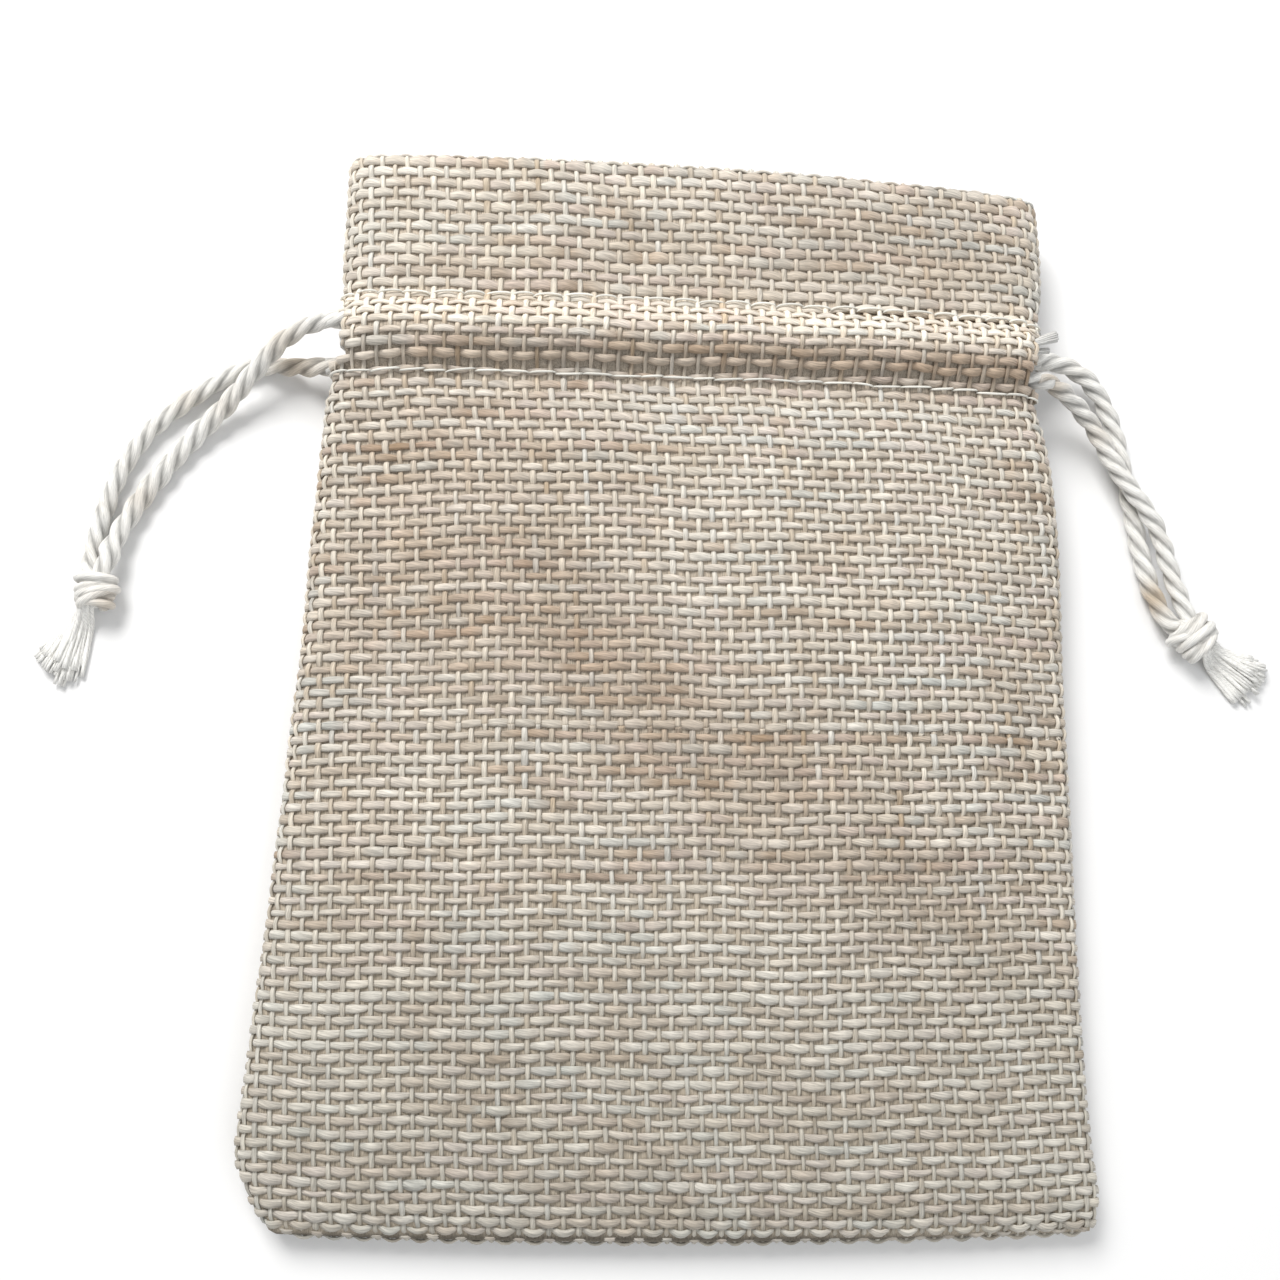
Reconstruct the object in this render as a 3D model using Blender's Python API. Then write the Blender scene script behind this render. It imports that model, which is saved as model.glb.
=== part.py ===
"""A small burlap drawstring sack, lying on its back.

One folded cloth with a turned-in hem, a hollow casing across its neck, two drawcords that each run round
inside the casing, a knot on each pair of cord ends and a frayed tassel beyond each knot.

Millimetres are used for every size here and turned into metres when a mesh is made. +X is to the sack's
right seen from above with the mouth away from the viewer, +Y points to the mouth, +Z is up. The origin is
the middle of the flat sack's box, on the surface it lies on.
"""
import math
from collections import namedtuple

import bmesh
import bpy
from mathutils import Vector

MM = 0.001

# ---------------------------------------------------------------- driving sizes, in millimetres
CLOTH = 1.0                 # one layer of cloth
CORD_RADIUS = 1.2           # over the tops of the cord's plies
CORD_GROOVE = 0.22          # depth of the groove between two plies
LAY_LENGTH = 10.0           # one full turn of the cord's three plies
PLIES = 3
CLEARANCE = 0.3             # between pieces that touch

LOWER_STITCH_Y = 36.6       # the two stitch lines that make the casing
UPPER_STITCH_Y = 47.1
CASING_Y = (LOWER_STITCH_Y + UPPER_STITCH_Y) / 2
RIDGE_RISE = 3.0            # how far the cords push the outer layer out, front and back
RIDGE_SIDE = 0.9            # the same at the sides, outwards
RIDGE_FLATNESS = 3.2        # a higher power gives a flatter crest
CORD_LANE = 1.4             # each cord's distance from the casing's middle
MOUTH_Y = 66.5              # crest of the fold round the mouth
HEM_END_Y = 35.5            # the hem's edge inside the sack

SLIT_HALF_LENGTH = 4.0      # along Y
SLIT_ANGLE = 48             # degrees above and below the side's middle

# The outer face of the flat sack at the stitching's level, from the bottom fold to the mouth.
# left and right are the side edges, under is the underside, top the front's highest line, crown how far
# the front falls from there to its sides, and turn the depth of the rounded side.
Section = namedtuple("Section", "y left right under top crown turn")
SECTIONS = (
    Section(-66.0, -45.8, 50.0, 1.5, 2.9, 0.1, 0.9),      # bottom fold
    Section(-65.5, -46.6, 50.5, 0.7, 3.9, 0.1, 1.6),
    Section(-64.3, -47.9, 50.9, 0.1, 4.9, 0.3, 2.2),
    Section(-61.8, -49.3, 51.2, 0.0, 5.7, 0.5, 2.5),      # the slanted corner, left
    Section(-56.5, -51.2, 50.6, 0.0, 6.5, 0.9, 2.7),
    Section(-46.0, -50.6, 50.1, 0.0, 7.4, 1.6, 2.8),
    Section(-30.0, -49.4, 49.8, 0.0, 8.9, 2.6, 3.0),
    Section(-12.0, -48.3, 49.6, 0.0, 10.6, 3.6, 3.3),
    Section(6.0, -47.3, 49.5, 0.0, 11.7, 4.0, 3.8),
    Section(17.0, -47.0, 49.5, 0.0, 12.3, 3.8, 4.4),      # fullest
    Section(26.5, -46.4, 48.8, 0.9, 12.6, 3.0, 5.2),
    Section(32.5, -46.1, 47.6, 2.2, 12.4, 2.0, 5.9),
    Section(LOWER_STITCH_Y, -45.3, 46.5, 3.0, 12.0, 1.2, 6.2),
    Section(CASING_Y, -44.9, 46.8, 3.0, 12.0, 1.2, 6.2),
    Section(UPPER_STITCH_Y, -44.6, 47.3, 3.0, 12.0, 1.2, 6.2),
    Section(53.0, -45.0, 48.1, 2.2, 11.9, 1.3, 5.6),
    Section(60.0, -45.0, 48.3, 1.1, 11.9, 1.5, 5.1),
    Section(MOUTH_Y, -45.1, 48.1, 0.4, 12.0, 1.8, 4.7),
)

# How a line across the cloth lies: slope is its rise in Y from left to right, bow its outward middle.
Lie = namedtuple("Lie", "y slope bow")
LIES = (
    Lie(-66.0, 0.008, -1.0),
    Lie(-46.0, 0.010, -0.4),
    Lie(6.0, 0.000, 0.0),
    Lie(LOWER_STITCH_Y, 0.000, 0.0),
    Lie(UPPER_STITCH_Y, -0.004, 0.0),
    Lie(MOUTH_Y, -0.022, 0.2),
)

# Soft hollows and swells of the front, each a round patch.
Patch = namedtuple("Patch", "x y rise radius")
PATCHES = (
    Patch(-30, -38, 0.45, 17),
    Patch(4, -50, -0.35, 16),
    Patch(33, -30, 0.40, 18),
    Patch(-8, -18, -0.45, 18),
    Patch(-34, 0, -0.50, 15),
    Patch(22, 4, 0.45, 15),
    Patch(-12, 20, 0.35, 13),
    Patch(36, 22, -0.45, 12),
    Patch(-30, 60, -0.40, 9),
    Patch(8, 62, 0.30, 10),
    Patch(36, 60, -0.35, 9),
)

FRONT_STEPS = 12            # columns across the front, and the same across the back
TURN_ANGLES = (66, SLIT_ANGLE, 20, 0, -20, -SLIT_ANGLE, -66)   # degrees round each side

# The left cord's free stretches and the right cord's, from the slit to the knot: x, y, z by hand.
LEFT_FRONT_STRAND = (
    (-46.2, 44.1, 8.5), (-48.8, 43.4, 7.7), (-51.6, 42.0, 6.5), (-53.9, 40.2, 5.2), (-56.4, 37.5, 3.9),
    (-59.6, 34.0, 2.3), (-63.2, 30.3, 1.4), (-67.3, 24.9, 1.3), (-70.1, 19.9, 1.5), (-71.7, 15.9, 2.2),
    (-72.3, 12.4, 3.2))
LEFT_BACK_STRAND = (
    (-46.3, 39.5, 4.3), (-48.4, 39.7, 3.5), (-50.9, 40.1, 2.4), (-54.0, 40.5, 1.5), (-57.2, 40.1, 1.3),
    (-61.4, 37.7, 1.3), (-65.6, 34.3, 1.3), (-69.3, 30.6, 1.3), (-72.3, 25.0, 1.3), (-73.9, 19.1, 1.3),
    (-74.5, 15.4, 1.4), (-74.5, 12.4, 1.7))
RIGHT_FRONT_STRAND = (
    (48.0, 39.4, 8.4), (50.4, 38.6, 7.0), (52.6, 37.4, 5.6), (54.5, 35.8, 4.5), (56.0, 33.8, 3.9),
    (57.1, 31.6, 3.8), (58.3, 29.2, 3.95), (59.8, 26.8, 4.05), (61.5, 24.4, 3.9), (63.0, 22.0, 3.5),
    (64.1, 19.5, 2.95), (64.8, 16.9, 2.7), (65.6, 13.9, 2.6), (66.5, 10.9, 2.9))
RIGHT_BACK_STRAND = (
    (48.1, 44.1, 4.4), (50.4, 44.2, 4.1), (52.9, 43.6, 3.6), (55.3, 42.2, 3.0), (57.2, 39.9, 2.3),
    (58.5, 37.3, 1.7), (59.3, 34.8, 1.4), (59.8, 32.3, 1.3), (60.1, 29.8, 1.3), (60.4, 27.3, 1.3),
    (60.8, 24.7, 1.3), (61.2, 22.1, 1.3), (61.6, 19.4, 1.3), (62.1, 16.9, 1.3), (62.9, 13.5, 1.4),
    (64.3, 9.6, 2.0))

# Each knot: its middle, the way the cord runs through it, and its half sizes along, across and up.
Knot = namedtuple("Knot", "middle heading along across up")
LEFT_KNOT = Knot((-73.3, 9.2, 2.45), (0.03, -1.0), 2.7, 2.95, 2.45)
RIGHT_KNOT = Knot((67.4, 7.4, 2.7), (0.58, -0.81), 3.1, 3.3, 2.7)

# Each tassel: the middle of its spread, as a heading, the spread in degrees, and its length.
Tassel = namedtuple("Tassel", "heading spread length")
LEFT_TASSEL = Tassel((-0.33, -0.94), 40, 9.4)
RIGHT_TASSEL = Tassel((0.74, -0.67), 40, 9.0)

CASING_U = (0.0, 0.045, 0.12, 0.24, 0.37, 0.5, 0.63, 0.76, 0.88, 0.955, 1.0)   # rows across the ridge


# ---------------------------------------------------------------- small helpers
def smooth_between(rows, y, name):
    """The named column at y, on a smooth curve through the rows that doesn't overshoot them."""
    if y <= rows[0].y:
        return getattr(rows[0], name)
    for i in range(len(rows) - 1):
        low, high = rows[i], rows[i + 1]
        if y <= high.y:
            break
    else:
        return getattr(rows[-1], name)

    def slope(j):
        before, here, after = rows[j - 1], rows[j], rows[j + 1]
        left = (getattr(here, name) - getattr(before, name)) / (here.y - before.y)
        right = (getattr(after, name) - getattr(here, name)) / (after.y - here.y)
        return 0.0 if left * right <= 0 else 2 * left * right / (left + right)

    span = high.y - low.y
    run = (getattr(high, name) - getattr(low, name)) / span
    start = slope(i) if i > 0 else run
    end = slope(i + 1) if i + 2 < len(rows) else run
    t = (y - low.y) / span
    a, b = getattr(low, name), getattr(high, name)
    return (a * (2 * t ** 3 - 3 * t ** 2 + 1) + b * (3 * t ** 2 - 2 * t ** 3)
            + span * (start * (t ** 3 - 2 * t ** 2 + t) + end * (t ** 3 - t ** 2)))


def curve_points(points, step):
    """Points about step apart on a smooth curve through the given ones."""
    ends = [points[0] * 2 - points[1]] + list(points) + [points[-1] * 2 - points[-2]]
    out = []
    for a, b, c, d in zip(ends, ends[1:], ends[2:], ends[3:]):
        count = max(1, round((c - b).length / step))
        for k in range(count):
            t = k / count
            out.append(0.5 * ((2 * b) + (c - a) * t + (2 * a - 5 * b + 4 * c - d) * t * t
                              + (3 * b - a - 3 * c + d) * t ** 3))
    out.append(points[-1].copy())
    return out


def make_object(name, points, faces, material):
    """A closed mesh from points in millimetres, as one smooth-shaded object."""
    mesh = bpy.data.meshes.new(name)
    mesh.from_pydata([tuple(c * MM for c in p) for p in points], [], faces)
    work = bmesh.new()
    work.from_mesh(mesh)
    bmesh.ops.delete(work, geom=[v for v in work.verts if not v.link_faces], context="VERTS")
    bmesh.ops.recalc_face_normals(work, faces=work.faces)
    work.to_mesh(mesh)
    work.free()
    mesh.shade_smooth()
    mesh.set_sharp_from_angle(angle=math.radians(40))
    mesh.materials.append(material)
    piece = bpy.data.objects.new(name, mesh)
    bpy.context.scene.collection.objects.link(piece)
    return piece


def make_material(name, colour, roughness):
    material = bpy.data.materials.new(name)
    material.use_nodes = True
    shader = material.node_tree.nodes["Principled BSDF"]
    shader.inputs["Base Color"].default_value = (*colour, 1.0)
    shader.inputs["Roughness"].default_value = roughness
    shader.inputs["Metallic"].default_value = 0.0
    return material


# ---------------------------------------------------------------- the sack's cloth
def ridge(y):
    """How far the casing stands out at y, from 0 at the stitching to 1 along its crest."""
    u = (y - LOWER_STITCH_Y) / (UPPER_STITCH_Y - LOWER_STITCH_Y)
    if not 0 < u < 1:
        return 0.0
    return (1 - abs(2 * u - 1) ** RIDGE_FLATNESS) ** 0.77


def calm(y, s):
    """The share of the front's unevenness at y and s: none at its edges, its ends and its casing."""
    off_ends = min(1.0, max(0.0, (y + 64.0) / 12.0))
    off_casing = min(1.0, abs(y - CASING_Y) / 12.0) ** 2 if abs(y - CASING_Y) > 6.0 else 0.0
    return off_ends * off_casing * (1 - s * s)


def swell(x, y, s):
    """The front's rise above its plain form."""
    rise = sum(p.rise * math.exp(-((x - p.x) ** 2 + (y - p.y) ** 2) / p.radius ** 2) for p in PATCHES)
    return rise * calm(y, s)


def ring(y, kind, inset=0.0):
    """One closed line of the cloth round the sack at y.

    kind "outer" is the outer face and kind "inner" the inner one; inset moves either one towards the
    inside of the sack. All rings have the same count of points, so any two can be joined.
    """
    left, right, under, top, crown, turn = (
        smooth_between(SECTIONS, y, name) for name in ("left", "right", "under", "top", "crown", "turn"))
    left_axis, right_axis = left + turn, right - turn
    g = ridge(y)
    if kind == "outer":
        depth = turn + RIDGE_SIDE * g - inset
        under = max(0.0, under - (RIDGE_RISE + 0.1) * g) + inset
        top = top + RIDGE_RISE * g - inset
    else:
        layers = 2 * CLOTH if y > HEM_END_Y else CLOTH
        depth = turn - layers - (RIDGE_RISE - RIDGE_SIDE) * g - inset
        under = under + layers + inset
        top = top - layers - inset
    edge = top - crown
    middle, half = (edge + under) / 2, (edge - under) / 2
    slope, bow = smooth_between(LIES, y, "slope"), smooth_between(LIES, y, "bow")
    centre = (left_axis + right_axis) / 2
    reach = (right_axis - left_axis) / 2

    def place(x, z):
        s = max(-1.0, min(1.0, (x - centre) / reach))
        return Vector((x, y + slope * (x - centre) + bow * (1 - s * s), z))

    points = []
    for i in range(FRONT_STEPS + 1):                       # the front, left to right
        s = 2 * i / FRONT_STEPS - 1
        x = centre + reach * s
        points.append(place(x, top - crown * abs(s) ** 3 + swell(x, y, s)))
    for angle in TURN_ANGLES:                              # down round the right side
        a = math.radians(angle)
        points.append(place(right_axis + depth * math.cos(a), middle + half * math.sin(a)))
    for i in range(FRONT_STEPS + 1):                       # the back, right to left
        s = 1 - 2 * i / FRONT_STEPS
        points.append(place(centre + reach * s, under))
    for angle in reversed(TURN_ANGLES):                    # up round the left side
        a = math.radians(angle)
        points.append(place(left_axis - depth * math.cos(a), middle + half * math.sin(a)))
    return points


RING_SIZE = 2 * (FRONT_STEPS + 1) + 2 * len(TURN_ANGLES)
FIRST_RIGHT = FRONT_STEPS + 1                              # the first point of the right side's turn
FIRST_LEFT = 2 * (FRONT_STEPS + 1) + len(TURN_ANGLES)      # the first point of the left side's turn


def slit_columns():
    """The ring's steps that both slits leave open, as indices of the step's first point."""
    open_steps = set()
    inside = [i for i, angle in enumerate(TURN_ANGLES) if abs(angle) <= SLIT_ANGLE]
    for first in (FIRST_RIGHT, FIRST_LEFT):
        for i in inside[:-1]:
            open_steps.add(first + i)
    return open_steps


class Shell:
    """Points and faces of one mesh, grown ring by ring."""

    def __init__(self):
        self.points = []
        self.faces = []

    def add_ring(self, points):
        first = len(self.points)
        self.points.extend(points)
        return list(range(first, first + len(points)))

    def join(self, a, b, skip=()):
        for k in range(len(a)):
            if k not in skip:
                n = (k + 1) % len(a)
                self.faces.append((a[k], a[n], b[n], b[k]))

    def cap(self, indices):
        """Close a cloth ring by joining each point of its front to the one under it."""
        chain = indices[FIRST_LEFT + len(TURN_ANGLES) // 2:] + indices[:FIRST_RIGHT + len(TURN_ANGLES) // 2 + 1]
        other = indices[FIRST_RIGHT + len(TURN_ANGLES) // 2:FIRST_LEFT + len(TURN_ANGLES) // 2 + 1][::-1]
        for k in range(len(chain) - 1):
            corners = [chain[k], chain[k + 1], other[k + 1], other[k]]
            self.faces.append(tuple(dict.fromkeys(corners)))


def casing_rows():
    return [LOWER_STITCH_Y + u * (UPPER_STITCH_Y - LOWER_STITCH_Y) for u in CASING_U]


def build_cloth(material):
    shell = Shell()
    casing = casing_rows()
    body = [s.y for s in SECTIONS if s.y < LOWER_STITCH_Y]
    between = [-59.6, -51.5, -38.0, -21.0, -3.0, 11.5, 22.0, 29.7, 34.6]
    below = sorted(body + between)
    header = [48.4, 50.4, 53.0, 56.5, 60.0, 63.4]
    rim_start = MOUTH_Y - CLOTH

    outer_rows = below + casing + header + [rim_start]
    outer = [shell.add_ring(ring(y, "outer")) for y in outer_rows]
    first_casing = len(below)
    open_steps = slit_columns()
    slit_rows = [i for i, y in enumerate(casing) if abs(y - CASING_Y) <= SLIT_HALF_LENGTH + 0.01]
    slit_first, slit_last = slit_rows[0], slit_rows[-1]
    for i in range(len(outer) - 1):
        row = i - first_casing
        shell.join(outer[i], outer[i + 1], open_steps if slit_first <= row < slit_last else ())
    shell.cap(outer[0])

    # Over the fold of the mouth and down the inside.
    rim = [shell.add_ring(ring(MOUTH_Y - CLOTH * (1 - math.sin(math.radians(a))), "outer",
                               CLOTH * (1 - math.cos(math.radians(a))))) for a in (45, 90, 135)]
    shell.join(outer[-1], rim[0])
    shell.join(rim[0], rim[1])
    shell.join(rim[1], rim[2])
    inner_bottom = -64.9
    inner_rows = ([rim_start] + header[::-1] + casing[::-1] + [HEM_END_Y + 0.02, HEM_END_Y - 0.3]
                  + [y for y in below[::-1] if inner_bottom < y < HEM_END_Y - 0.5] + [inner_bottom])
    inner = [shell.add_ring(ring(y, "inner")) for y in inner_rows]
    shell.join(rim[2], inner[0])
    for a, b in zip(inner, inner[1:]):
        shell.join(a, b)
    shell.cap(inner[-1])

    # The hollow of the casing, between the outer layer and the hem, all round the sack.
    hollow_rows = casing[1:-1]
    roof = [shell.add_ring(ring(y, "outer", CLOTH)) for y in hollow_rows]
    floor = [shell.add_ring(ring(y, "inner", -CLOTH)) for y in hollow_rows]
    for i in range(len(hollow_rows) - 1):
        row = i + 1
        shell.join(roof[i], roof[i + 1], open_steps if slit_first <= row < slit_last else ())
        shell.join(floor[i], floor[i + 1])
    shell.join(roof[0], floor[0])
    shell.join(roof[-1], floor[-1])

    # The cut edges of the slits.
    for first in (FIRST_RIGHT, FIRST_LEFT):
        steps = sorted(k for k in open_steps if first <= k < first + len(TURN_ANGLES))
        low, high = steps[0], steps[-1] + 1
        for i in range(slit_first, slit_last):
            for k in (low, high):
                a, b = outer[first_casing + i][k], outer[first_casing + i + 1][k]
                c, d = roof[i - 1][k], roof[i][k]
                shell.faces.append((a, b, d, c))
        for k in steps:
            for i in (slit_first, slit_last):
                row_out, row_in = outer[first_casing + i], roof[i - 1]
                shell.faces.append((row_out[k], row_out[k + 1], row_in[k + 1], row_in[k]))
    return make_object("sack_cloth", shell.points, shell.faces, material)


# ---------------------------------------------------------------- the drawcords
def front_lane(x, lane):
    """A point on the middle of the front of the casing's hollow."""
    row = [smooth_between(SECTIONS, CASING_Y, n) for n in ("left", "right", "top", "crown", "turn")]
    left, right, top, crown, turn = row
    centre, reach = (left + right) / 2, (right - left) / 2 - turn
    s = min(1.0, abs(x - centre) / reach)
    return Vector((x, CASING_Y + lane, top - CLOTH + RIDGE_RISE / 2 - crown * s ** 3))


def back_lane(x, lane):
    """The same on the casing's back."""
    under = smooth_between(SECTIONS, CASING_Y, "under")
    return Vector((x, CASING_Y + lane, under + CLOTH - RIDGE_RISE / 2))


def cord_route(side, front_strand, back_strand, lane):
    """A cord from its knot, in at the slit, round the casing and out again, and each stretch's ends.

    side is -1 for the cord that leaves at the left and 1 for the other one. lane is the cord's place
    along Y in the front of the casing; at the back it has the other lane.
    """
    left, right, turn = (smooth_between(SECTIONS, CASING_Y, n) for n in ("left", "right", "turn"))
    axis = {-1: left + turn, 1: right - turn}
    near, far = axis[side], axis[-side]
    high, low = front_lane(far, lane), back_lane(far, -lane)
    middle, half = (high.z + low.z) / 2, (high.z - low.z) / 2
    depth = turn + RIDGE_SIDE - CLOTH - RIDGE_RISE / 2

    def turning(x, angle, away, offset):
        """A point of the bend that the casing's hollow makes round a side."""
        a = math.radians(angle)
        return Vector((x + away * depth * math.cos(a), CASING_Y + offset, middle + half * math.sin(a)))

    points = [Vector(p) for p in reversed(front_strand)]
    points.append(Vector((near + side * 5.3, CASING_Y + lane * 1.6, 9.0)))
    points += [turning(near, angle, side, lane * off) for angle, off in ((36, 1.5), (62, 1.3), (90, 1.1))]
    points += [front_lane(near + (far - near) * t, lane) for t in (0.05, 0.2, 0.4, 0.6, 0.8, 0.95)]
    points += [turning(far, angle, -side, lane * math.sin(math.radians(angle))) for angle in range(90, -91, -30)]
    points += [back_lane(far + (near - far) * t, -lane) for t in (0.05, 0.2, 0.4, 0.6, 0.8, 0.95)]
    points += [turning(near, angle, side, -lane * off) for angle, off in ((-90, 1.1), (-62, 1.3), (-36, 1.5))]
    points.append(Vector((near + side * 5.3, CASING_Y - lane * 1.6, 4.7)))
    points += [Vector(p) for p in back_strand]
    return points


def in_casing(point):
    """Whether a point of a cord is hidden in the casing."""
    return -40.0 < point.x < 42.0


def build_cord(name, route, material):
    """A three-ply cord swept along its route, its twist raised where it shows."""
    fine = curve_points(route, LAY_LENGTH / 12)
    shell = Shell()
    travelled = 0.0
    phase = 0.0
    last_ring_at = None
    rings = []
    across = None
    for i, point in enumerate(fine):
        ahead = fine[min(i + 1, len(fine) - 1)]
        behind = fine[max(i - 1, 0)]
        along = (ahead - behind).normalized()
        if across is None:
            across = along.orthogonal().normalized()
        across = (across - along * across.dot(along)).normalized()
        beside = along.cross(across)
        if i:
            travelled += (point - fine[i - 1]).length
        straight = in_casing(point)
        if i and not straight:
            phase -= 2 * math.pi * (point - fine[i - 1]).length / LAY_LENGTH
        step = 5.0 if straight else LAY_LENGTH / 12 * 0.9
        if last_ring_at is not None and travelled - last_ring_at < step and i != len(fine) - 1:
            continue
        last_ring_at = travelled
        groove = CORD_GROOVE * (0.3 if straight else 1.0)
        corners = []
        for k in range(2 * PLIES):
            a = phase + math.pi * k / PLIES
            radius = CORD_RADIUS - (groove if k % 2 else 0.0)
            corners.append(point + across * (radius * math.cos(a)) + beside * (radius * math.sin(a)))
        rings.append(shell.add_ring(corners))
    for a, b in zip(rings, rings[1:]):
        shell.join(a, b)
    shell.faces.append(tuple(rings[0]))
    shell.faces.append(tuple(rings[-1]))
    return make_object(name, shell.points, shell.faces, material)


# ---------------------------------------------------------------- knots and tassels
def frame_of(heading):
    along = Vector((heading[0], heading[1], 0)).normalized()
    return along, Vector((-along.y, along.x, 0))


def build_knot(name, knot, lean, material):
    """An overhand knot as one lump, with the grooves between its wraps raised and sunk in it.

    lean turns the wraps against the cord's way.
    """
    rows, columns = 16, 18
    along, across = frame_of(knot.heading)
    centre = Vector(knot.middle)
    shell = Shell()
    rings = []
    for i in range(rows + 1):
        t = -1 + 2 * i / rows
        t = math.copysign(abs(t) ** 0.85, t) * 0.96
        girth = (1 - abs(t) ** 2.6) ** 0.5
        corners = []
        for k in range(columns):
            a = 2 * math.pi * k / columns
            wraps = t + lean * math.cos(a) + 0.12 * math.sin(2 * a)
            groove = 0.13 * math.exp(-((wraps - 0.10) / 0.13) ** 2) + 0.08 * math.exp(-((wraps + 0.52) / 0.12) ** 2)
            size = girth * (1 - groove) * (1 + 0.04 * math.cos(3 * a + 5 * t))
            corner = (centre + along * (knot.along * t) + across * (knot.across * size * math.cos(a))
                      + Vector((0, 0, knot.up * size * math.sin(a))))
            corner.z = max(corner.z, 0.0)
            corners.append(corner)
        rings.append(shell.add_ring(corners))
    for a, b in zip(rings, rings[1:]):
        shell.join(a, b)
    shell.faces.append(tuple(rings[0]))
    shell.faces.append(tuple(rings[-1]))
    return make_object(name, shell.points, shell.faces, material)


def build_tassel(name, knot, tassel, material):
    """Two layers of yarn ends that fan out over the surface from one root behind the knot."""
    columns = 6
    head_half_width, head_low, head_high, head_length = 1.5, 1.0, 3.2, 0.9
    yarn_root, yarn_width, yarn_height = 0.30, 1.05, 0.85
    along, across = frame_of(knot.heading)
    start = Vector(knot.middle) + along * (knot.along * 0.96 + CLEARANCE)
    shell = Shell()

    def grid(distance):
        rows = []
        for z in (head_low, (head_low + head_high) / 2, head_high):
            rows.append(shell.add_ring([
                Vector((start.x, start.y, z)) + along * distance + across * (head_half_width * (2 * j / columns - 1))
                for j in range(columns + 1)]))
        return rows

    back, front = grid(0.0), grid(head_length)

    def edge(rows):
        return rows[0] + [rows[1][-1]] + rows[2][::-1] + [rows[1][0]]

    shell.join(edge(back), edge(front))
    for r in range(2):
        for j in range(columns):
            shell.faces.append((back[r][j], back[r][j + 1], back[r + 1][j + 1], back[r + 1][j]))

    fan_along, fan_across = frame_of(tassel.heading)
    for r in range(2):
        for j in range(columns):
            cell = (front[r][j], front[r][j + 1], front[r + 1][j + 1], front[r + 1][j])
            root = sum((shell.points[i] for i in cell), Vector()) / 4
            spread = (j + 0.5) / columns - 0.5 + (0.035 if r else 0.0)
            angle = math.radians(tassel.spread) * spread * (0.92 if r else 1.0)
            toward = fan_along * math.cos(angle) + fan_across * math.sin(angle)
            length = tassel.length * (1 - 0.9 * spread * spread) * (0.96 + 0.05 * math.cos(2.3 * j + 1.7 * r))
            rest = yarn_height / 2 + r * (yarn_height + 0.12)
            rings = [list(cell)]
            for t in (0.0, 0.2, 0.42, 0.7, 1.0):
                drop = min(1.0, t / 0.42)
                drop = drop * drop * (3 - 2 * drop)
                heading = along.lerp(toward, min(1.0, 0.35 + t)).normalized()
                centre = Vector((root.x, root.y, 0)) + heading * (length * t) + along * 0.05
                centre.z = root.z + (rest - root.z) * drop
                width = yarn_root + (yarn_width - yarn_root) * min(1.0, t / 0.8)
                height = yarn_root * 1.6 + (yarn_height - yarn_root * 1.6) * drop
                beside = Vector((-heading.y, heading.x, 0)) * (width / 2)
                up = Vector((0, 0, height / 2))
                rings.append(shell.add_ring([centre - beside - up, centre + beside - up,
                                             centre + beside + up, centre - beside + up]))
            for a, b in zip(rings, rings[1:]):
                shell.join(a, b)
            shell.faces.append(tuple(rings[-1]))
    return make_object(name, shell.points, shell.faces, material)


def main():
    for old in list(bpy.data.objects):
        bpy.data.objects.remove(old, do_unlink=True)

    burlap = make_material("burlap", (0.60, 0.50, 0.39), 0.90)
    cotton = make_material("cotton_cord", (0.74, 0.70, 0.63), 0.85)

    build_cloth(burlap)
    build_cord("drawcord_left", cord_route(-1, LEFT_FRONT_STRAND, LEFT_BACK_STRAND, CORD_LANE), cotton)
    build_cord("drawcord_right", cord_route(1, RIGHT_FRONT_STRAND, RIGHT_BACK_STRAND, -CORD_LANE), cotton)
    build_knot("knot_left", LEFT_KNOT, 0.16, cotton)
    build_knot("knot_right", RIGHT_KNOT, -0.30, cotton)
    build_tassel("tassel_left", LEFT_KNOT, LEFT_TASSEL, cotton)
    build_tassel("tassel_right", RIGHT_KNOT, RIGHT_TASSEL, cotton)


main()
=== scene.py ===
import math
from itertools import product

import bmesh
import bpy
import numpy as np
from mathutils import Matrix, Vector


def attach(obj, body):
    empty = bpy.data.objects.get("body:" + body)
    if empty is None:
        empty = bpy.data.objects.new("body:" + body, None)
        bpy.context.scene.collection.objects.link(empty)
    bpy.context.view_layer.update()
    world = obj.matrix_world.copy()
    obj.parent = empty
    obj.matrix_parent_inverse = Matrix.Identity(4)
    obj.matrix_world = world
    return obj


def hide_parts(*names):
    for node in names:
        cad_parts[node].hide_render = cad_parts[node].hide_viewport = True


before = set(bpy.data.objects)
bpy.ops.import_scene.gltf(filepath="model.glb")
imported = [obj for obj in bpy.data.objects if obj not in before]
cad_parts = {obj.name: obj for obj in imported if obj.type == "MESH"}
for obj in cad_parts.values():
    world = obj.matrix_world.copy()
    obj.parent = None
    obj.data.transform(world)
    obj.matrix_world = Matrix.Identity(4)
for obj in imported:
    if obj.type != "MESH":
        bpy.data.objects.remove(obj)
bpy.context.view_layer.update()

print("sack: the frame is loaded")
bpy.ops.object.select_all(action="DESELECT")

# Sizes are in millimetres, and become metres when a mesh is made.
mm = 0.001
rand = np.random.default_rng(52)
goldenShare = 0.382  # of a turn, from one thread of a bunch to the next


def added(name, data):
    made = bpy.data.objects.new(name, data)
    bpy.context.scene.collection.objects.link(made)
    return made


# The camera, the floor and the light.
cameraSetup = dict(
    place=(-14.228, -32.285, 172.934),
    turn=(12.2, -3.3563, 0.9293),  # degrees about X, Y and Z
    focalLength=38.53,
    sensorWidth=36.0,
    reach=(0.002, 5.0),  # from and to, in metres
)


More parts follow.
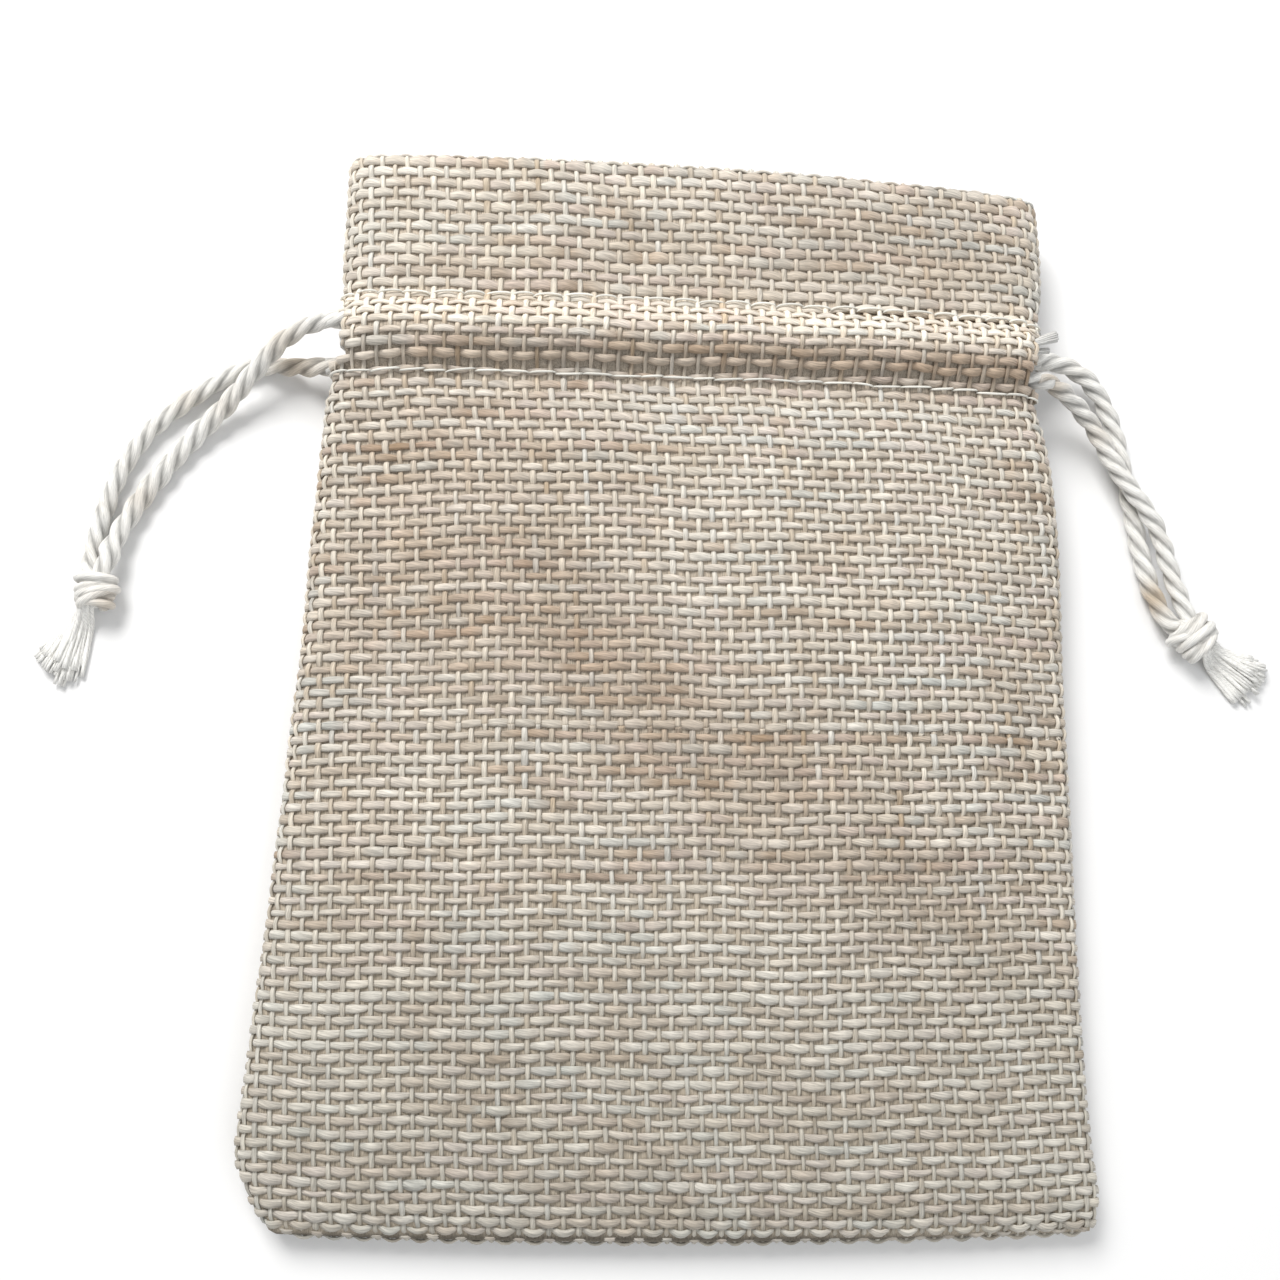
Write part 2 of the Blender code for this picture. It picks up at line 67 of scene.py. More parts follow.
def placeCamera():
    lens = bpy.data.cameras.new("camera")
    lens.sensor_width = cameraSetup["sensorWidth"]
    lens.lens = cameraSetup["focalLength"]
    lens.clip_start, lens.clip_end = cameraSetup["reach"]
    eye = added("camera", lens)
    eye.location = [c * mm for c in cameraSetup["place"]]
    eye.rotation_euler = [math.radians(a) for a in cameraSetup["turn"]]
    bpy.context.scene.camera = eye


studio = dict(
    floorColour=(0.86, 0.86, 0.86),
    floorSize=4.0,
    floorLevel=-0.00005,
    floorRoughness=0.8,
    skyColour=(1.0, 1.0, 1.0),
    skyStrength=0.42,
    # name, place in metres, size in metres, watts, colour
    lamps=(
        ("key", (-0.20, 0.34, 0.42), 0.28, 3.4, (1.0, 0.99, 0.975)),
        ("fill", (0.30, -0.25, 0.50), 0.60, 1.3, (0.95, 0.975, 1.0)),
    ),
)


def aimedAt(place, target=(0.0, 0.0, 0.0)):
    return (Vector(target) - Vector(place)).to_track_quat("-Z", "Y").to_euler()


def lightStudio():
    scene = bpy.context.scene
    scene.view_settings.view_transform = "Standard"
    sky = bpy.data.worlds.new("studio")
    sky.use_nodes = True
    back = sky.node_tree.nodes["Background"]
    back.inputs["Color"].default_value = (*studio["skyColour"], 1.0)
    back.inputs["Strength"].default_value = studio["skyStrength"]
    scene.world = sky
    for name, place, size, watts, colour in studio["lamps"]:
        lamp = bpy.data.lights.new(name, "AREA")
        lamp.size, lamp.energy, lamp.color = size, watts, colour
        holder = added(name, lamp)
        holder.location, holder.rotation_euler = place, aimedAt(place)
    bpy.ops.mesh.primitive_plane_add(size=studio["floorSize"], location=(0, 0, studio["floorLevel"]))
    floor = bpy.context.object
    floor.name = "floor"
    pale = bpy.data.materials.new("floor")
    pale.use_nodes = True
    shader = pale.node_tree.nodes["Principled BSDF"]
    shader.inputs["Base Color"].default_value = (*studio["floorColour"], 1.0)
    shader.inputs["Roughness"].default_value = studio["floorRoughness"]
    floor.data.materials.append(pale)


placeCamera()
lightStudio()
print("sack: camera, floor and light are set")


# Materials.
class Wire:
    # a node's output that takes part in sums
    def __init__(self, finish, socket):
        self.finish, self.socket = finish, socket

    def sum(self, operation, first, second):
        return self.finish.node("ShaderNodeMath", {0: first, 1: second}, operation=operation)

    __add__ = __radd__ = lambda self, other: self.sum("ADD", self, other)
    __mul__ = __rmul__ = lambda self, other: self.sum("MULTIPLY", self, other)
    __sub__ = lambda self, other: self.sum("SUBTRACT", self, other)
    __rsub__ = lambda self, other: self.sum("SUBTRACT", other, self)
    __pow__ = lambda self, other: self.sum("POWER", self, other)


class Finish:
    # one material, and the one way in which a node is added to it
    def __init__(self, name, roughness, sheen=0.0, specular=0.2):
        self.material = bpy.data.materials.new(name)
        self.material.use_nodes = True
        self.tree = self.material.node_tree
        self.shader = self.tree.nodes["Principled BSDF"]
        self.feed("Roughness", roughness)
        self.feed("Sheen Weight", sheen)
        self.feed("Specular IOR Level", specular)

    def node(self, kind, sockets=None, out=0, **settings):
        made = self.tree.nodes.new(kind)
        for key, value in settings.items():
            setattr(made, key, value)
        for key, value in (sockets or {}).items():
            self.plug(made.inputs[key], value)
        return Wire(self, made.outputs[out])

    def plug(self, socket, value):
        if isinstance(value, Wire):
            self.tree.links.new(value.socket, socket)
        else:
            socket.default_value = value

    def feed(self, name, value):
        self.plug(self.shader.inputs[name], value)

    def mixed(self, share, first, second, blend="MIX"):
        return self.node("ShaderNodeMix", {"Factor": share, 6: first, 7: second}, out=2,
                         data_type="RGBA", blend_type=blend)

    def times(self, first, second):
        return self.node("ShaderNodeVectorMath", {0: first, 1: second}, operation="MULTIPLY")

    def grey(self, value):
        return self.node("ShaderNodeCombineXYZ", dict(X=value, Y=value, Z=value))

    def part(self, vector, axis):
        return self.node("ShaderNodeSeparateXYZ", dict(Vector=vector), out=axis)

    def noise(self, place, scale, detail=2.0, roughness=0.5):
        return self.node("ShaderNodeTexNoise", dict(
            Vector=place, Scale=scale, Detail=detail, Roughness=roughness))

    def bump(self, height, strength, distance):
        return self.node("ShaderNodeBump", dict(
            Strength=strength, Distance=distance * mm, Height=height))


# What all yarns have alike, then the cloth's.
fibreLook = dict(detail=3.0, coarseness=0.6, roughnessSwing=0.2, bumpStrength=0.8)
yarnFinish = dict(slot="burlap", roughness=0.9, sheen=0.12, fibreLength=2.2, fibreWidth=0.13, twist=0.12,
                  darkFibres=0.9, bumpDepth=0.07)


def stretched(finish, along, across, slant):
    # the yarn map, drawn out along the yarn and slanted by its twist
    place = finish.node("ShaderNodeUVMap", uv_map="yarn")
    run, girth = (finish.part(place, axis) for axis in "XY")
    return finish.node("ShaderNodeCombineXYZ", dict(
        X=run * (1 / along), Y=(girth + run * slant) * (1 / across)))


def makeYarnFinish(name, look):
    finish = Finish(name, look["roughness"], look["sheen"])
    dye = finish.node("ShaderNodeAttribute", attribute_name="dye")
    place = stretched(finish, look["fibreLength"], look["fibreWidth"], look["twist"])
    fibres = finish.noise(place, 1.0, fibreLook["detail"], fibreLook["coarseness"])
    shade = 1.0 + (fibres - 0.5) * (2 * look["darkFibres"])
    finish.feed("Base Color", finish.times(dye, finish.grey(shade)))
    finish.feed("Roughness", look["roughness"] + (fibres - 0.5) * fibreLook["roughnessSwing"])
    finish.feed("Normal", finish.bump(fibres, fibreLook["bumpStrength"], look["bumpDepth"]))
    return finish.material, look["slot"]


# Tubes in millimetres, gathered into one mesh.
def linear(colour):
    # an 0 to 255 screen colour as the renderer's own
    c = np.asarray(colour, float) / 255
    return np.where(c <= 0.04045, c / 12.92, ((c + 0.055) / 1.055) ** 2.4)


def unit(v):
    return v / np.maximum(np.linalg.norm(v, axis=-1, keepdims=True), 1e-12)


def runOf(line):
    return np.concatenate([[0], np.cumsum(np.linalg.norm(np.diff(line, axis=0), axis=1))])


def lengthOf(line):
    return float(np.linalg.norm(np.diff(line, axis=0), axis=1).sum())


def resampled(line, count):
    run = runOf(line)
    at = np.linspace(0, run[-1], count)
    return np.column_stack([np.interp(at, run, line[:, k]) for k in range(3)])


def spaced(line, step):
    return resampled(line, max(3, int(round(runOf(line)[-1] / step)) + 1))


def smoothLine(points, step):
    # a curve through the points
    p = np.asarray(points, float)
    p = np.vstack([2 * p[0] - p[1], p, 2 * p[-1] - p[-2]])
    out = []
    for a, b, c, d in zip(p, p[1:], p[2:], p[3:]):
        count = max(1, round(np.linalg.norm(c - b) / step))
        t = (np.arange(count) / count)[:, None]
        out.append(0.5 * (2 * b + (c - a) * t + (2 * a - 5 * b + 4 * c - d) * t ** 2
                          + (3 * b - a - 3 * c + d) * t ** 3))
    out.append(p[-2:-1])
    return np.vstack(out)


def roundOutline(width, height, sides):
    first = 0 if sides % 4 == 2 else math.pi / 2 - math.pi / sides
    angle = math.tau * (np.arange(sides) + 0.5) / sides + first
    return np.stack([np.outer(width, np.cos(angle)), np.outer(height, np.sin(angle))], axis=-1)


# Each tube's strip of the bake's map, and where its two ends' caps lie.
bakeStrip = dict(start=0.002, length=0.99, margin=0.04, caps=0.9955, capRadius=0.01)
fibreShift = 40  # millimetres within which a tube's fibres start


class Bundle:
    # yarns, threads or plies, each a closed tube, joined into one piece
    def __init__(self):
        self.tubes = []

    def add(self, centre, up, outline, dye):
        # centre (n, 3), outline (n, sides, 2); up and dye: one, or (n, 3), and dye also (n, sides, 3)
        along = unit(np.gradient(centre, axis=0))
        side = unit(np.cross(along, up))
        over = np.cross(side, along)
        ring = centre[:, None] + side[:, None] * outline[..., :1] + over[:, None] * outline[..., 1:]
        dye = dye if dye.ndim == 3 else dye.reshape(-1, 1, 3)
        self.tubes.append((ring, centre, np.broadcast_to(dye, ring.shape)))

    def make(self, name, finish, lowest):
        points, tints, loops, starts, bakeMap, yarnMap = ([] for _ in range(6))
        longest = max(len(ring) for ring, _, _ in self.tubes)
        margin = bakeStrip["margin"]
        total = len(self.tubes)
        base = 0
        loopCount = 0
        for k, (ring, centre, dye) in enumerate(self.tubes):
            n, sides = ring.shape[:2]
            ring[..., 2] = np.maximum(ring[..., 2], lowest)
            points.append(ring.reshape(-1, 3))
            tints.append(dye.reshape(-1, 3))
            i, j = np.meshgrid(np.arange(n - 1), np.arange(sides), indexing="ij")
            here, beyond, nextJ = i * sides, (i + 1) * sides, (j + 1) % sides
            quads = np.stack([here + j, beyond + j, beyond + nextJ, here + nextJ], -1)
            loops.append(base + quads.reshape(-1))
            starts.append(loopCount + 4 * np.arange(quads.size // 4))
            loopCount += quads.size
            run = runOf(centre)
            girth = np.linalg.norm(ring - np.roll(ring, 1, axis=1), axis=-1).sum(axis=1).mean()
            shift = rand.random() * fibreShift
            corners = [(i, j), (i + 1, j), (i + 1, j + 1), (i, j + 1)]
            onBake = [(bakeStrip["start"] + bakeStrip["length"] * a / longest,
                       (k + margin + (1 - 2 * margin) * b / sides) / total) for a, b in corners]
            onYarn = [(run[a] + shift, b * girth / sides) for a, b in corners]
            for uv, pairs in ((bakeMap, onBake), (yarnMap, onYarn)):
                uv.append(np.stack([np.stack(pair, -1) for pair in pairs], 2).reshape(-1, 2))
            turn = math.tau * np.arange(sides) / sides
            cap = np.stack([np.cos(turn), np.sin(turn)], -1) * bakeStrip["capRadius"] / total
            for end, order in ((0, np.arange(sides)), (n - 1, np.arange(sides)[::-1])):
                loops.append(base + end * sides + order)
                starts.append(np.array([loopCount]))
                loopCount += sides
                bakeMap.append(cap + [bakeStrip["caps"], (k + 0.5) / total])
                yarnMap.append(cap)
            base += n * sides
        mesh = bpy.data.meshes.new(name)
        points, tints = np.concatenate(points), np.concatenate(tints)
        loops, starts = np.concatenate(loops), np.concatenate(starts)
        mesh.vertices.add(len(points))
        mesh.vertices.foreach_set("co", (points * mm).astype(np.float32).ravel())
        mesh.loops.add(len(loops))
        mesh.loops.foreach_set("vertex_index", loops.astype(np.int32))
        mesh.polygons.add(len(starts))
        mesh.polygons.foreach_set("loop_start", starts.astype(np.int32))
        mesh.update(calc_edges=True)
        for title, uv in (("yarn", yarnMap), ("OFBake", bakeMap)):
            layer = mesh.uv_layers.new(name=title)
            layer.data.foreach_set("uv", np.concatenate(uv).astype(np.float32).ravel())
        dyes = mesh.attributes.new("dye", "FLOAT_COLOR", "POINT")
        tints = np.column_stack([tints, np.ones(len(tints))])
        dyes.data.foreach_set("color", tints.astype(np.float32).ravel())
        mesh.shade_smooth()
        mesh.materials.append(finish[0])
        piece = added(name, mesh)
        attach(piece, "root")
        return piece


# The cords.
cordLook = dict(
    radius=1.2,  # over the tops of the plies
    plies=3, plyRadius=0.66,
    plyPlace=0.56,  # each ply's middle, from the cord's own
    layLength=9.6,  # one full turn, an S lay
    unevenness=0.045, unevenEvery=1.6,
    # painted shade: the grooves between the plies are painted darker
    grooveShade=0.52, grooveForm=1.5,  # how much darker the grooves are
    curveStep=0.2, step=0.34, sides=24,
    lowest=0.05,
    colour=(235, 234, 230),
    stain=(184, 166, 142),
    stained=(0.06, 0.10),  # the stain's share, and its swing
    stainWaves=(2, 9), waveCount=4,  # along a cord
)
cottonFinish = dict(slot="cotton_cord", roughness=0.86, sheen=0.25, fibreLength=1.5, fibreWidth=0.12,
                    twist=-0.5, darkFibres=0.75, bumpDepth=0.11)

# The free stretches, from inside the slit to inside the knot, on the part's own paths. Stains and fuller are
# by place along the strand, from 0 to 1.
strands = dict(
    left_front=dict(
        seed=3, turn=3.3, stains=((0.16, 0.06, 0.4), (0.42, 0.04, 0.2), (0.75, 0.05, 0.2)),
        fuller=((0, 1.0), (0.35, 1.0), (0.5, 1.16), (0.66, 1.14), (0.85, 1.05), (1, 1.05)),
        points=((-44.0, 44.1, 9.0), (-46.2, 44.1, 8.5), (-48.8, 43.4, 7.7), (-51.6, 42.0, 6.5),
                (-53.9, 40.2, 5.2), (-56.4, 37.5, 3.9), (-59.6, 34.0, 2.3), (-63.2, 30.3, 1.4),
                (-67.3, 24.9, 1.3), (-70.1, 19.9, 1.5), (-71.7, 15.9, 2.2), (-72.3, 12.4, 3.2),
                (-72.9, 10.4, 2.9)),
    ),
    left_back=dict(
        seed=4, turn=4.4, stains=((0.12, 0.09, 0.6), (0.45, 0.05, 0.25)),
        points=((-44.0, 39.6, 4.7), (-46.3, 39.5, 4.3), (-48.4, 39.7, 3.5), (-50.9, 40.1, 2.4),
                (-54.0, 40.5, 1.5), (-57.2, 40.1, 1.3), (-61.4, 37.7, 1.3), (-65.6, 34.3, 1.3),
                (-69.3, 30.6, 1.3), (-72.3, 25.0, 1.3), (-73.9, 19.1, 1.3), (-74.5, 15.4, 1.4),
                (-74.5, 12.4, 1.7), (-73.9, 10.6, 2.1)),
    ),
    right_front=dict(
        seed=5, turn=5.5, stains=((0.05, 0.07, 0.5), (0.3, 0.06, 0.25)),
        points=((45.9, 39.6, 9.0), (48.0, 39.4, 8.4), (50.4, 38.6, 7.0), (52.6, 37.4, 5.6),
                (54.5, 35.8, 4.5), (56.0, 33.8, 3.9), (57.1, 31.6, 3.8), (58.3, 29.2, 3.95),
                (59.8, 26.8, 4.05), (61.5, 24.4, 3.9), (63.0, 22.0, 3.5), (64.1, 19.5, 2.95),
                (64.8, 16.9, 2.7), (65.6, 13.9, 2.6), (66.5, 10.9, 2.9), (67.0, 9.0, 2.9)),
    ),
    right_back=dict(
        seed=6, turn=6.6, stains=((0.9, 0.05, 0.8), (0.55, 0.05, 0.2)),
        points=((45.9, 44.1, 4.7), (48.1, 44.1, 4.4), (50.4, 44.2, 4.1), (52.9, 43.6, 3.6),
                (55.3, 42.2, 3.0), (57.2, 39.9, 2.3), (58.5, 37.3, 1.7), (59.3, 34.8, 1.4),
                (59.8, 32.3, 1.3), (60.1, 29.8, 1.3), (60.4, 27.3, 1.3), (60.8, 24.7, 1.3),
                (61.2, 22.1, 1.3), (61.6, 19.4, 1.3), (62.1, 16.9, 1.3), (62.9, 13.5, 1.4),
                (64.3, 9.6, 2.0), (65.6, 8.4, 2.4)),
    ),
)


def plyOutline(phase, swell=1.0, look=cordLook):
    # the outline round all the plies at each station, turned by phase
    angle = math.tau * np.arange(look["sides"]) / look["sides"]
    share = math.tau / look["plies"]
    off = (angle[None] - phase[:, None] + share / 2) % share - share / 2
    d, r = look["plyPlace"], look["plyRadius"]
    reach = d * np.cos(off) + np.sqrt(r * r - (d * np.sin(off)) ** 2)
    reach = reach * np.reshape(swell, (-1, 1))
    return np.stack([reach * np.cos(angle), reach * np.sin(angle)], axis=-1)


def carriedFrame(line):
    # an up direction at each point that doesn't spin about the line
    up = np.empty_like(line)
    here = np.array([0.0, 0.0, 1.0])
    for k, t in enumerate(unit(np.gradient(line, axis=0))):
        here = here - t * here.dot(t)
        here /= np.linalg.norm(here)
        up[k] = here
    return up


def cordDye(count, stains=(), seed=1):
    # stains are (place along the cord from 0 to 1, reach, strength)
    local = np.random.default_rng(seed)
    at = np.linspace(0, 1, count)
    count, waves = cordLook["waveCount"], cordLook["stainWaves"]
    wave = sum(np.sin(math.tau * (at * local.uniform(*waves) + local.random())) for _ in range(count)) / count
    share, swing = cordLook["stained"]
    share = share + swing * wave
    for place, reach, strength in stains:
        share = share + strength * np.exp(-((at - place) / reach) ** 2)
    share = np.clip(share, 0, 1)[:, None]
    return linear(cordLook["colour"]) * (1 - share) + linear(cordLook["stain"]) * share


# painted shade: darkens each station's colour where the outline dips into the grooves between the plies
def shaded(dye, outline, look):
    reach = np.linalg.norm(outline, axis=-1)
    top = reach.max(axis=1, keepdims=True)
    depth = (top - reach) / (top - reach.min(axis=1, keepdims=True))
    return dye[:, None] * (1 - look["grooveShade"] * depth ** look["grooveForm"])[..., None]


def layCord(bundle, line, seed, look, turn=0.0, fuller=((0, 1.0), (1, 1.0)), stains=()):
    run = runOf(line)
    local = np.random.default_rng(seed + 50)
    at = np.arange(0, run[-1] + 2, look["unevenEvery"])
    uneven = np.interp(run, at, local.normal(0, look["unevenness"], len(at)))
    swell = np.interp(run / run[-1], *np.array(fuller).T) * (1 + uneven)
    outline = plyOutline(turn + math.tau * run / look["layLength"], swell, look)
    dye = shaded(cordDye(len(line), stains, seed), outline, look)
    bundle.add(line, carriedFrame(line), outline, dye)


cotton = makeYarnFinish("cotton_cord", cottonFinish)


def makeCord(name, points, look=cordLook, **laid):
    # a stretch of a drawcord, and the line that it lies on
    line = spaced(smoothLine(points, look["curveStep"]), look["step"])
    bundle = Bundle()
    layCord(bundle, line, look=look, **laid)
    return bundle.make("drawcord_" + name, cotton, look["lowest"]), line


strandPieces = {name: makeCord(name, **strand) for name, strand in strands.items()}
print("sack: the cords' free stretches are laid")


# The shape in which the cloth lies.
sack = dict(
    clothThick=1.0,
    bottom=-66.0,
    mouth=66.5,  # crest of the fold round the mouth
    hemEnd=35.5,  # the hem's edge inside the sack
    lowerStitch=36.6, upperStitch=47.1,
    crownForm=3,
    ridgeRise=3.0, ridgeSide=0.9, ridgeUnder=0.1,  # the last is added under the back
    ridgeForm=(2.4, 1.15),  # the visible ridge's flatness and how softly its feet run out
    solidForm=(3.2, 0.77),  # the same of the part's own solid
    slitBelow=3.9, slitAbove=3.4,  # from the casing's middle
    slitDepth=5.3,  # along the cloth from the side's middle
    foldReach=14.0,  # the cloth that bends to the bottom fold's shape
    foldDepth=0.45,  # how far the bottom fold stands out
    seamDepth=0.35, seamWidth=0.9,
    dentsFrom=-64.0, dentFade=12.0,
    dentFree=6.0,  # none so near the casing's middle
    # the lines that the cloth is built of
    rowStep=0.3, hemRowStep=0.4, rimTurn=18, foldTurn=15, columns=241, bendStations=14, flatStations=90,
    levelWithin=5.6,  # of the casing's middle, the ridge takes no more wefts than flat cloth
)
casingMiddle = (sack["lowerStitch"] + sack["upperStitch"]) / 2


def tableOf(columns, *rows):
    return dict(zip(columns.split(), np.array(rows, float).T))


# The outer face from the bottom fold to the mouth, without the ridge, as in the part's own source.
sections = tableOf(
    "y left right under top crown turn",
    (-66.0, -45.8, 50.0, 1.5, 2.9, 0.1, 0.9),
    (-65.5, -46.6, 50.5, 0.7, 3.9, 0.1, 1.6),
    (-64.3, -47.9, 50.9, 0.1, 4.9, 0.3, 2.2),
    (-61.8, -49.3, 51.2, 0.0, 5.7, 0.5, 2.5),
    (-56.5, -51.2, 50.6, 0.0, 6.5, 0.9, 2.7),
    (-46.0, -50.6, 50.1, 0.0, 7.4, 1.6, 2.8),
    (-30.0, -49.4, 49.8, 0.0, 8.9, 2.6, 3.0),
    (-12.0, -48.3, 49.6, 0.0, 10.6, 3.6, 3.3),
    (6.0, -47.3, 49.5, 0.0, 11.7, 4.0, 3.8),
    (17.0, -47.0, 49.5, 0.0, 12.3, 3.8, 4.4),
    (26.5, -46.4, 48.8, 0.9, 12.6, 3.0, 5.2),
    (32.5, -46.1, 47.6, 2.2, 12.4, 2.0, 5.9),
    (36.6, -45.3, 46.5, 3.0, 12.0, 1.2, 6.2),
    (41.85, -44.9, 46.8, 3.0, 12.0, 1.2, 6.2),
    (47.1, -44.6, 47.3, 3.0, 12.0, 1.2, 6.2),
    (53.0, -45.0, 48.1, 2.2, 11.9, 1.3, 5.6),
    (60.0, -45.0, 48.3, 1.1, 11.9, 1.5, 5.1),
    (66.5, -45.1, 48.1, 0.4, 12.0, 1.8, 4.7),
)
lies = tableOf(
    "y slope bow",
    (-66.0, 0.008, -1.0), (-46.0, 0.010, -0.4), (6.0, 0.0, 0.0),
    (36.6, 0.0, 0.0), (47.1, -0.004, 0.0), (66.5, -0.022, 0.2),
)
dents = tableOf(  # soft hollows and swells of the front
    "x y rise radius",
    (-30, -38, 0.45, 17), (4, -50, -0.35, 16), (33, -30, 0.40, 18), (-8, -18, -0.45, 18),
    (-34, 0, -0.50, 15), (22, 4, 0.45, 15), (-12, 20, 0.35, 13), (36, 22, -0.45, 12),
    (-30, 60, -0.40, 9), (8, 62, 0.30, 10), (36, 60, -0.35, 9),
)


def column(table, name, y):
    # the named column at y, on a smooth curve that doesn't overshoot the rows
    at, value = table["y"], table[name]
    run = np.diff(value) / np.diff(at)
    both = run[:-1] * run[1:]
    total = np.where(both > 0, run[:-1] + run[1:], 1.0)
    slope = np.concatenate([run[:1], np.where(both > 0, 2 * both / total, 0.0), run[-1:]])
    k = np.clip(np.searchsorted(at, y) - 1, 0, len(run) - 1)
    span = at[k + 1] - at[k]
    t = np.clip((y - at[k]) / span, 0, 1)
    return (value[k] * (2 * t ** 3 - 3 * t ** 2 + 1) + value[k + 1] * (3 * t ** 2 - 2 * t ** 3)
            + span * (slope[k] * (t ** 3 - 2 * t ** 2 + t) + slope[k + 1] * (t ** 3 - t ** 2)))


def sectionAt(y):
    return [float(column(sections, n, y)) for n in ("left", "right", "under", "top", "crown", "turn")]


def ridgeAt(y, form="ridgeForm"):
    u = (y - sack["lowerStitch"]) / (sack["upperStitch"] - sack["lowerStitch"])
    flatness, foot = sack[form]
    return (1 - abs(2 * u - 1) ** flatness) ** foot if 0 < u < 1 else 0.0


def swell(x, y, s):
    fade, far = sack["dentFade"], abs(y - casingMiddle)
    offEnds = min(1.0, max(0.0, (y - sack["dentsFrom"]) / fade))
    offCasing = min(1.0, far / fade) ** 2 if far > sack["dentFree"] else 0.0
    rise = sum(r * np.exp(-((x - a) ** 2 + (y - b) ** 2) / q ** 2)
               for a, b, r, q in zip(dents["x"], dents["y"], dents["rise"], dents["radius"]))
    return rise * offEnds * offCasing * (1 - s * s)


# The stations round a side's bend, and across the flat between the bends.
quarter = np.linspace(0, math.pi / 2, sack["bendStations"])
crossing = np.linspace(-1, 1, sack["flatStations"])[1:-1]


def clothLine(y, front, inner=False, inset=0.0):
    # one line across the cloth, from seam to seam, over the front or under the back
    left, right, under, top, crown, turn = sectionAt(y)
    leftAxis, rightAxis = left + turn, right - turn
    g = ridgeAt(y)
    if inner:
        layers = (2 if y > sack["hemEnd"] else 1) * sack["clothThick"]
        depth = turn - layers - (sack["ridgeRise"] - sack["ridgeSide"]) * g
        under, top = under + layers, top - layers
    else:
        depth = turn + sack["ridgeSide"] * g - inset
        under = max(0.0, under - (sack["ridgeRise"] + sack["ridgeUnder"]) * g) + inset
        top = top + sack["ridgeRise"] * g - inset
    edge = top - crown
    middle, half = (edge + under) / 2, (edge - under) / 2
    slope, bow = float(column(lies, "slope", y)), float(column(lies, "bow", y))
    centre, reach = (leftAxis + rightAxis) / 2, (rightAxis - leftAxis) / 2
    x = centre + reach * crossing
    if front:
        flat = top - crown * np.abs(crossing) ** sack["crownForm"] + swell(x, y, crossing)
        rise = middle + half * np.sin(quarter)
    else:
        flat = np.full_like(x, under)
        rise = middle - half * np.sin(quarter)
    out = depth * np.cos(quarter)
    x = np.concatenate([leftAxis - out, x, rightAxis + out[::-1]])
    z = np.concatenate([rise, flat, rise[::-1]])
    s = np.clip((x - centre) / reach, -1, 1)
    return np.stack([x, y + slope * (x - centre) + bow * (1 - s * s), z], axis=-1)


def panelLines(front):
    # one panel's lines from the bottom fold up, over the mouth and down the hem inside
    t, top = sack["clothThick"], sack["mouth"]
    lines = [(clothLine(y, front), y, "outer") for y in np.arange(sack["bottom"], top - t, sack["rowStep"])]
    for a in np.radians(np.arange(0, 181, sack["rimTurn"])):
        y = top - t * (1 - math.sin(a))
        lines.append((clothLine(y, front, inset=t * (1 - math.cos(a))), y, "rim"))
    lines += [(clothLine(y, front, inner=True), y, "hem")
              for y in np.arange(top - t - sack["rowStep"], sack["hemEnd"], -sack["hemRowStep"])]
    return lines


def outward(points):
    return unit(np.cross(np.gradient(points, axis=1), np.gradient(points, axis=0)))


def spreadSkin():
    # one grid: the back's hem, the back, round the fold, the front, its hem
    back, front = panelLines(False), panelLines(True)
    low, high = back[0][0], front[0][0]
    fold = []
    for b in np.radians(np.arange(-90, 91, sack["foldTurn"])[1:-1]):
        line = (low + high) / 2 + (high - low) / 2 * math.sin(b)
        line[:, 1] -= sack["foldDepth"] * math.cos(b)
        fold.append((line, sack["bottom"], "fold"))
    every = back[::-1] + fold + front
    columns = sack["columns"]
    points = np.array([resampled(line, columns) for line, _, _ in every])
    half = np.array([runOf(line)[-1] / 2 for line, _, _ in every])
    heights = np.array([y for _, y, _ in every])
    kinds = np.array([kind for _, _, kind in every])
    middle = points[:, columns // 2]
    step = np.diff(middle, axis=0)
    inCasing = np.abs(heights[1:] - casingMiddle) < sack["levelWithin"]
    step[:, 2] *= np.where(inCasing, 0.0, 1.0)
    along = np.concatenate([[0], np.cumsum(np.linalg.norm(step, axis=1))])
    along -= along[len(back) + len(fold) // 2]
    # how far aside the middle lies at the bottom fold
    reach = sack["foldReach"]
    aside = middle[:, 0] - np.interp(np.copysign(reach, along), along, middle[:, 0])
    aside[np.abs(along) > reach] = 0.0
    # the seams down both sides draw the two panels in
    away = (1 - np.abs(np.linspace(-1, 1, columns)))[None] * half[:, None]
    draw = sack["seamDepth"] * np.exp(-(away / sack["seamWidth"]) ** 2) * (kinds != "hem")[:, None]
    points = points - outward(points) * draw[..., None]
    return dict(points=points, normal=outward(points), half=half, along=along, aside=aside, kinds=kinds,
                heights=heights)


skin = spreadSkin()
mouthAt = {front: float(skin["along"][(skin["kinds"] == "rim") & ((skin["along"] > 0) == front)].mean())
           for front in (True, False)}
print("sack: the cloth spans", {k: round(v, 1) for k, v in mouthAt.items()}, "mm from its fold")


def halfWidth(along):
    return np.interp(along, skin["along"], skin["half"])


def onCloth(across, along):
    # the cloth's face and its outward direction, across from its middle and along from the fold
    points, normal = skin["points"], skin["normal"]
    rows, columns = points.shape[:2]
    r = np.clip(np.interp(along, skin["along"], np.arange(rows)), 0, rows - 1.001)
    c = np.clip((across / halfWidth(along) * 0.5 + 0.5) * (columns - 1), 0, columns - 1.001)
    i, j = r.astype(int), c.astype(int)
    a, b = (r - i)[..., None], (c - j)[..., None]

    def blend(grid):
        return ((grid[i, j] * (1 - b) + grid[i, j + 1] * b) * (1 - a)
                + (grid[i + 1, j] * (1 - b) + grid[i + 1, j + 1] * b) * a)

    return blend(points), unit(blend(normal))


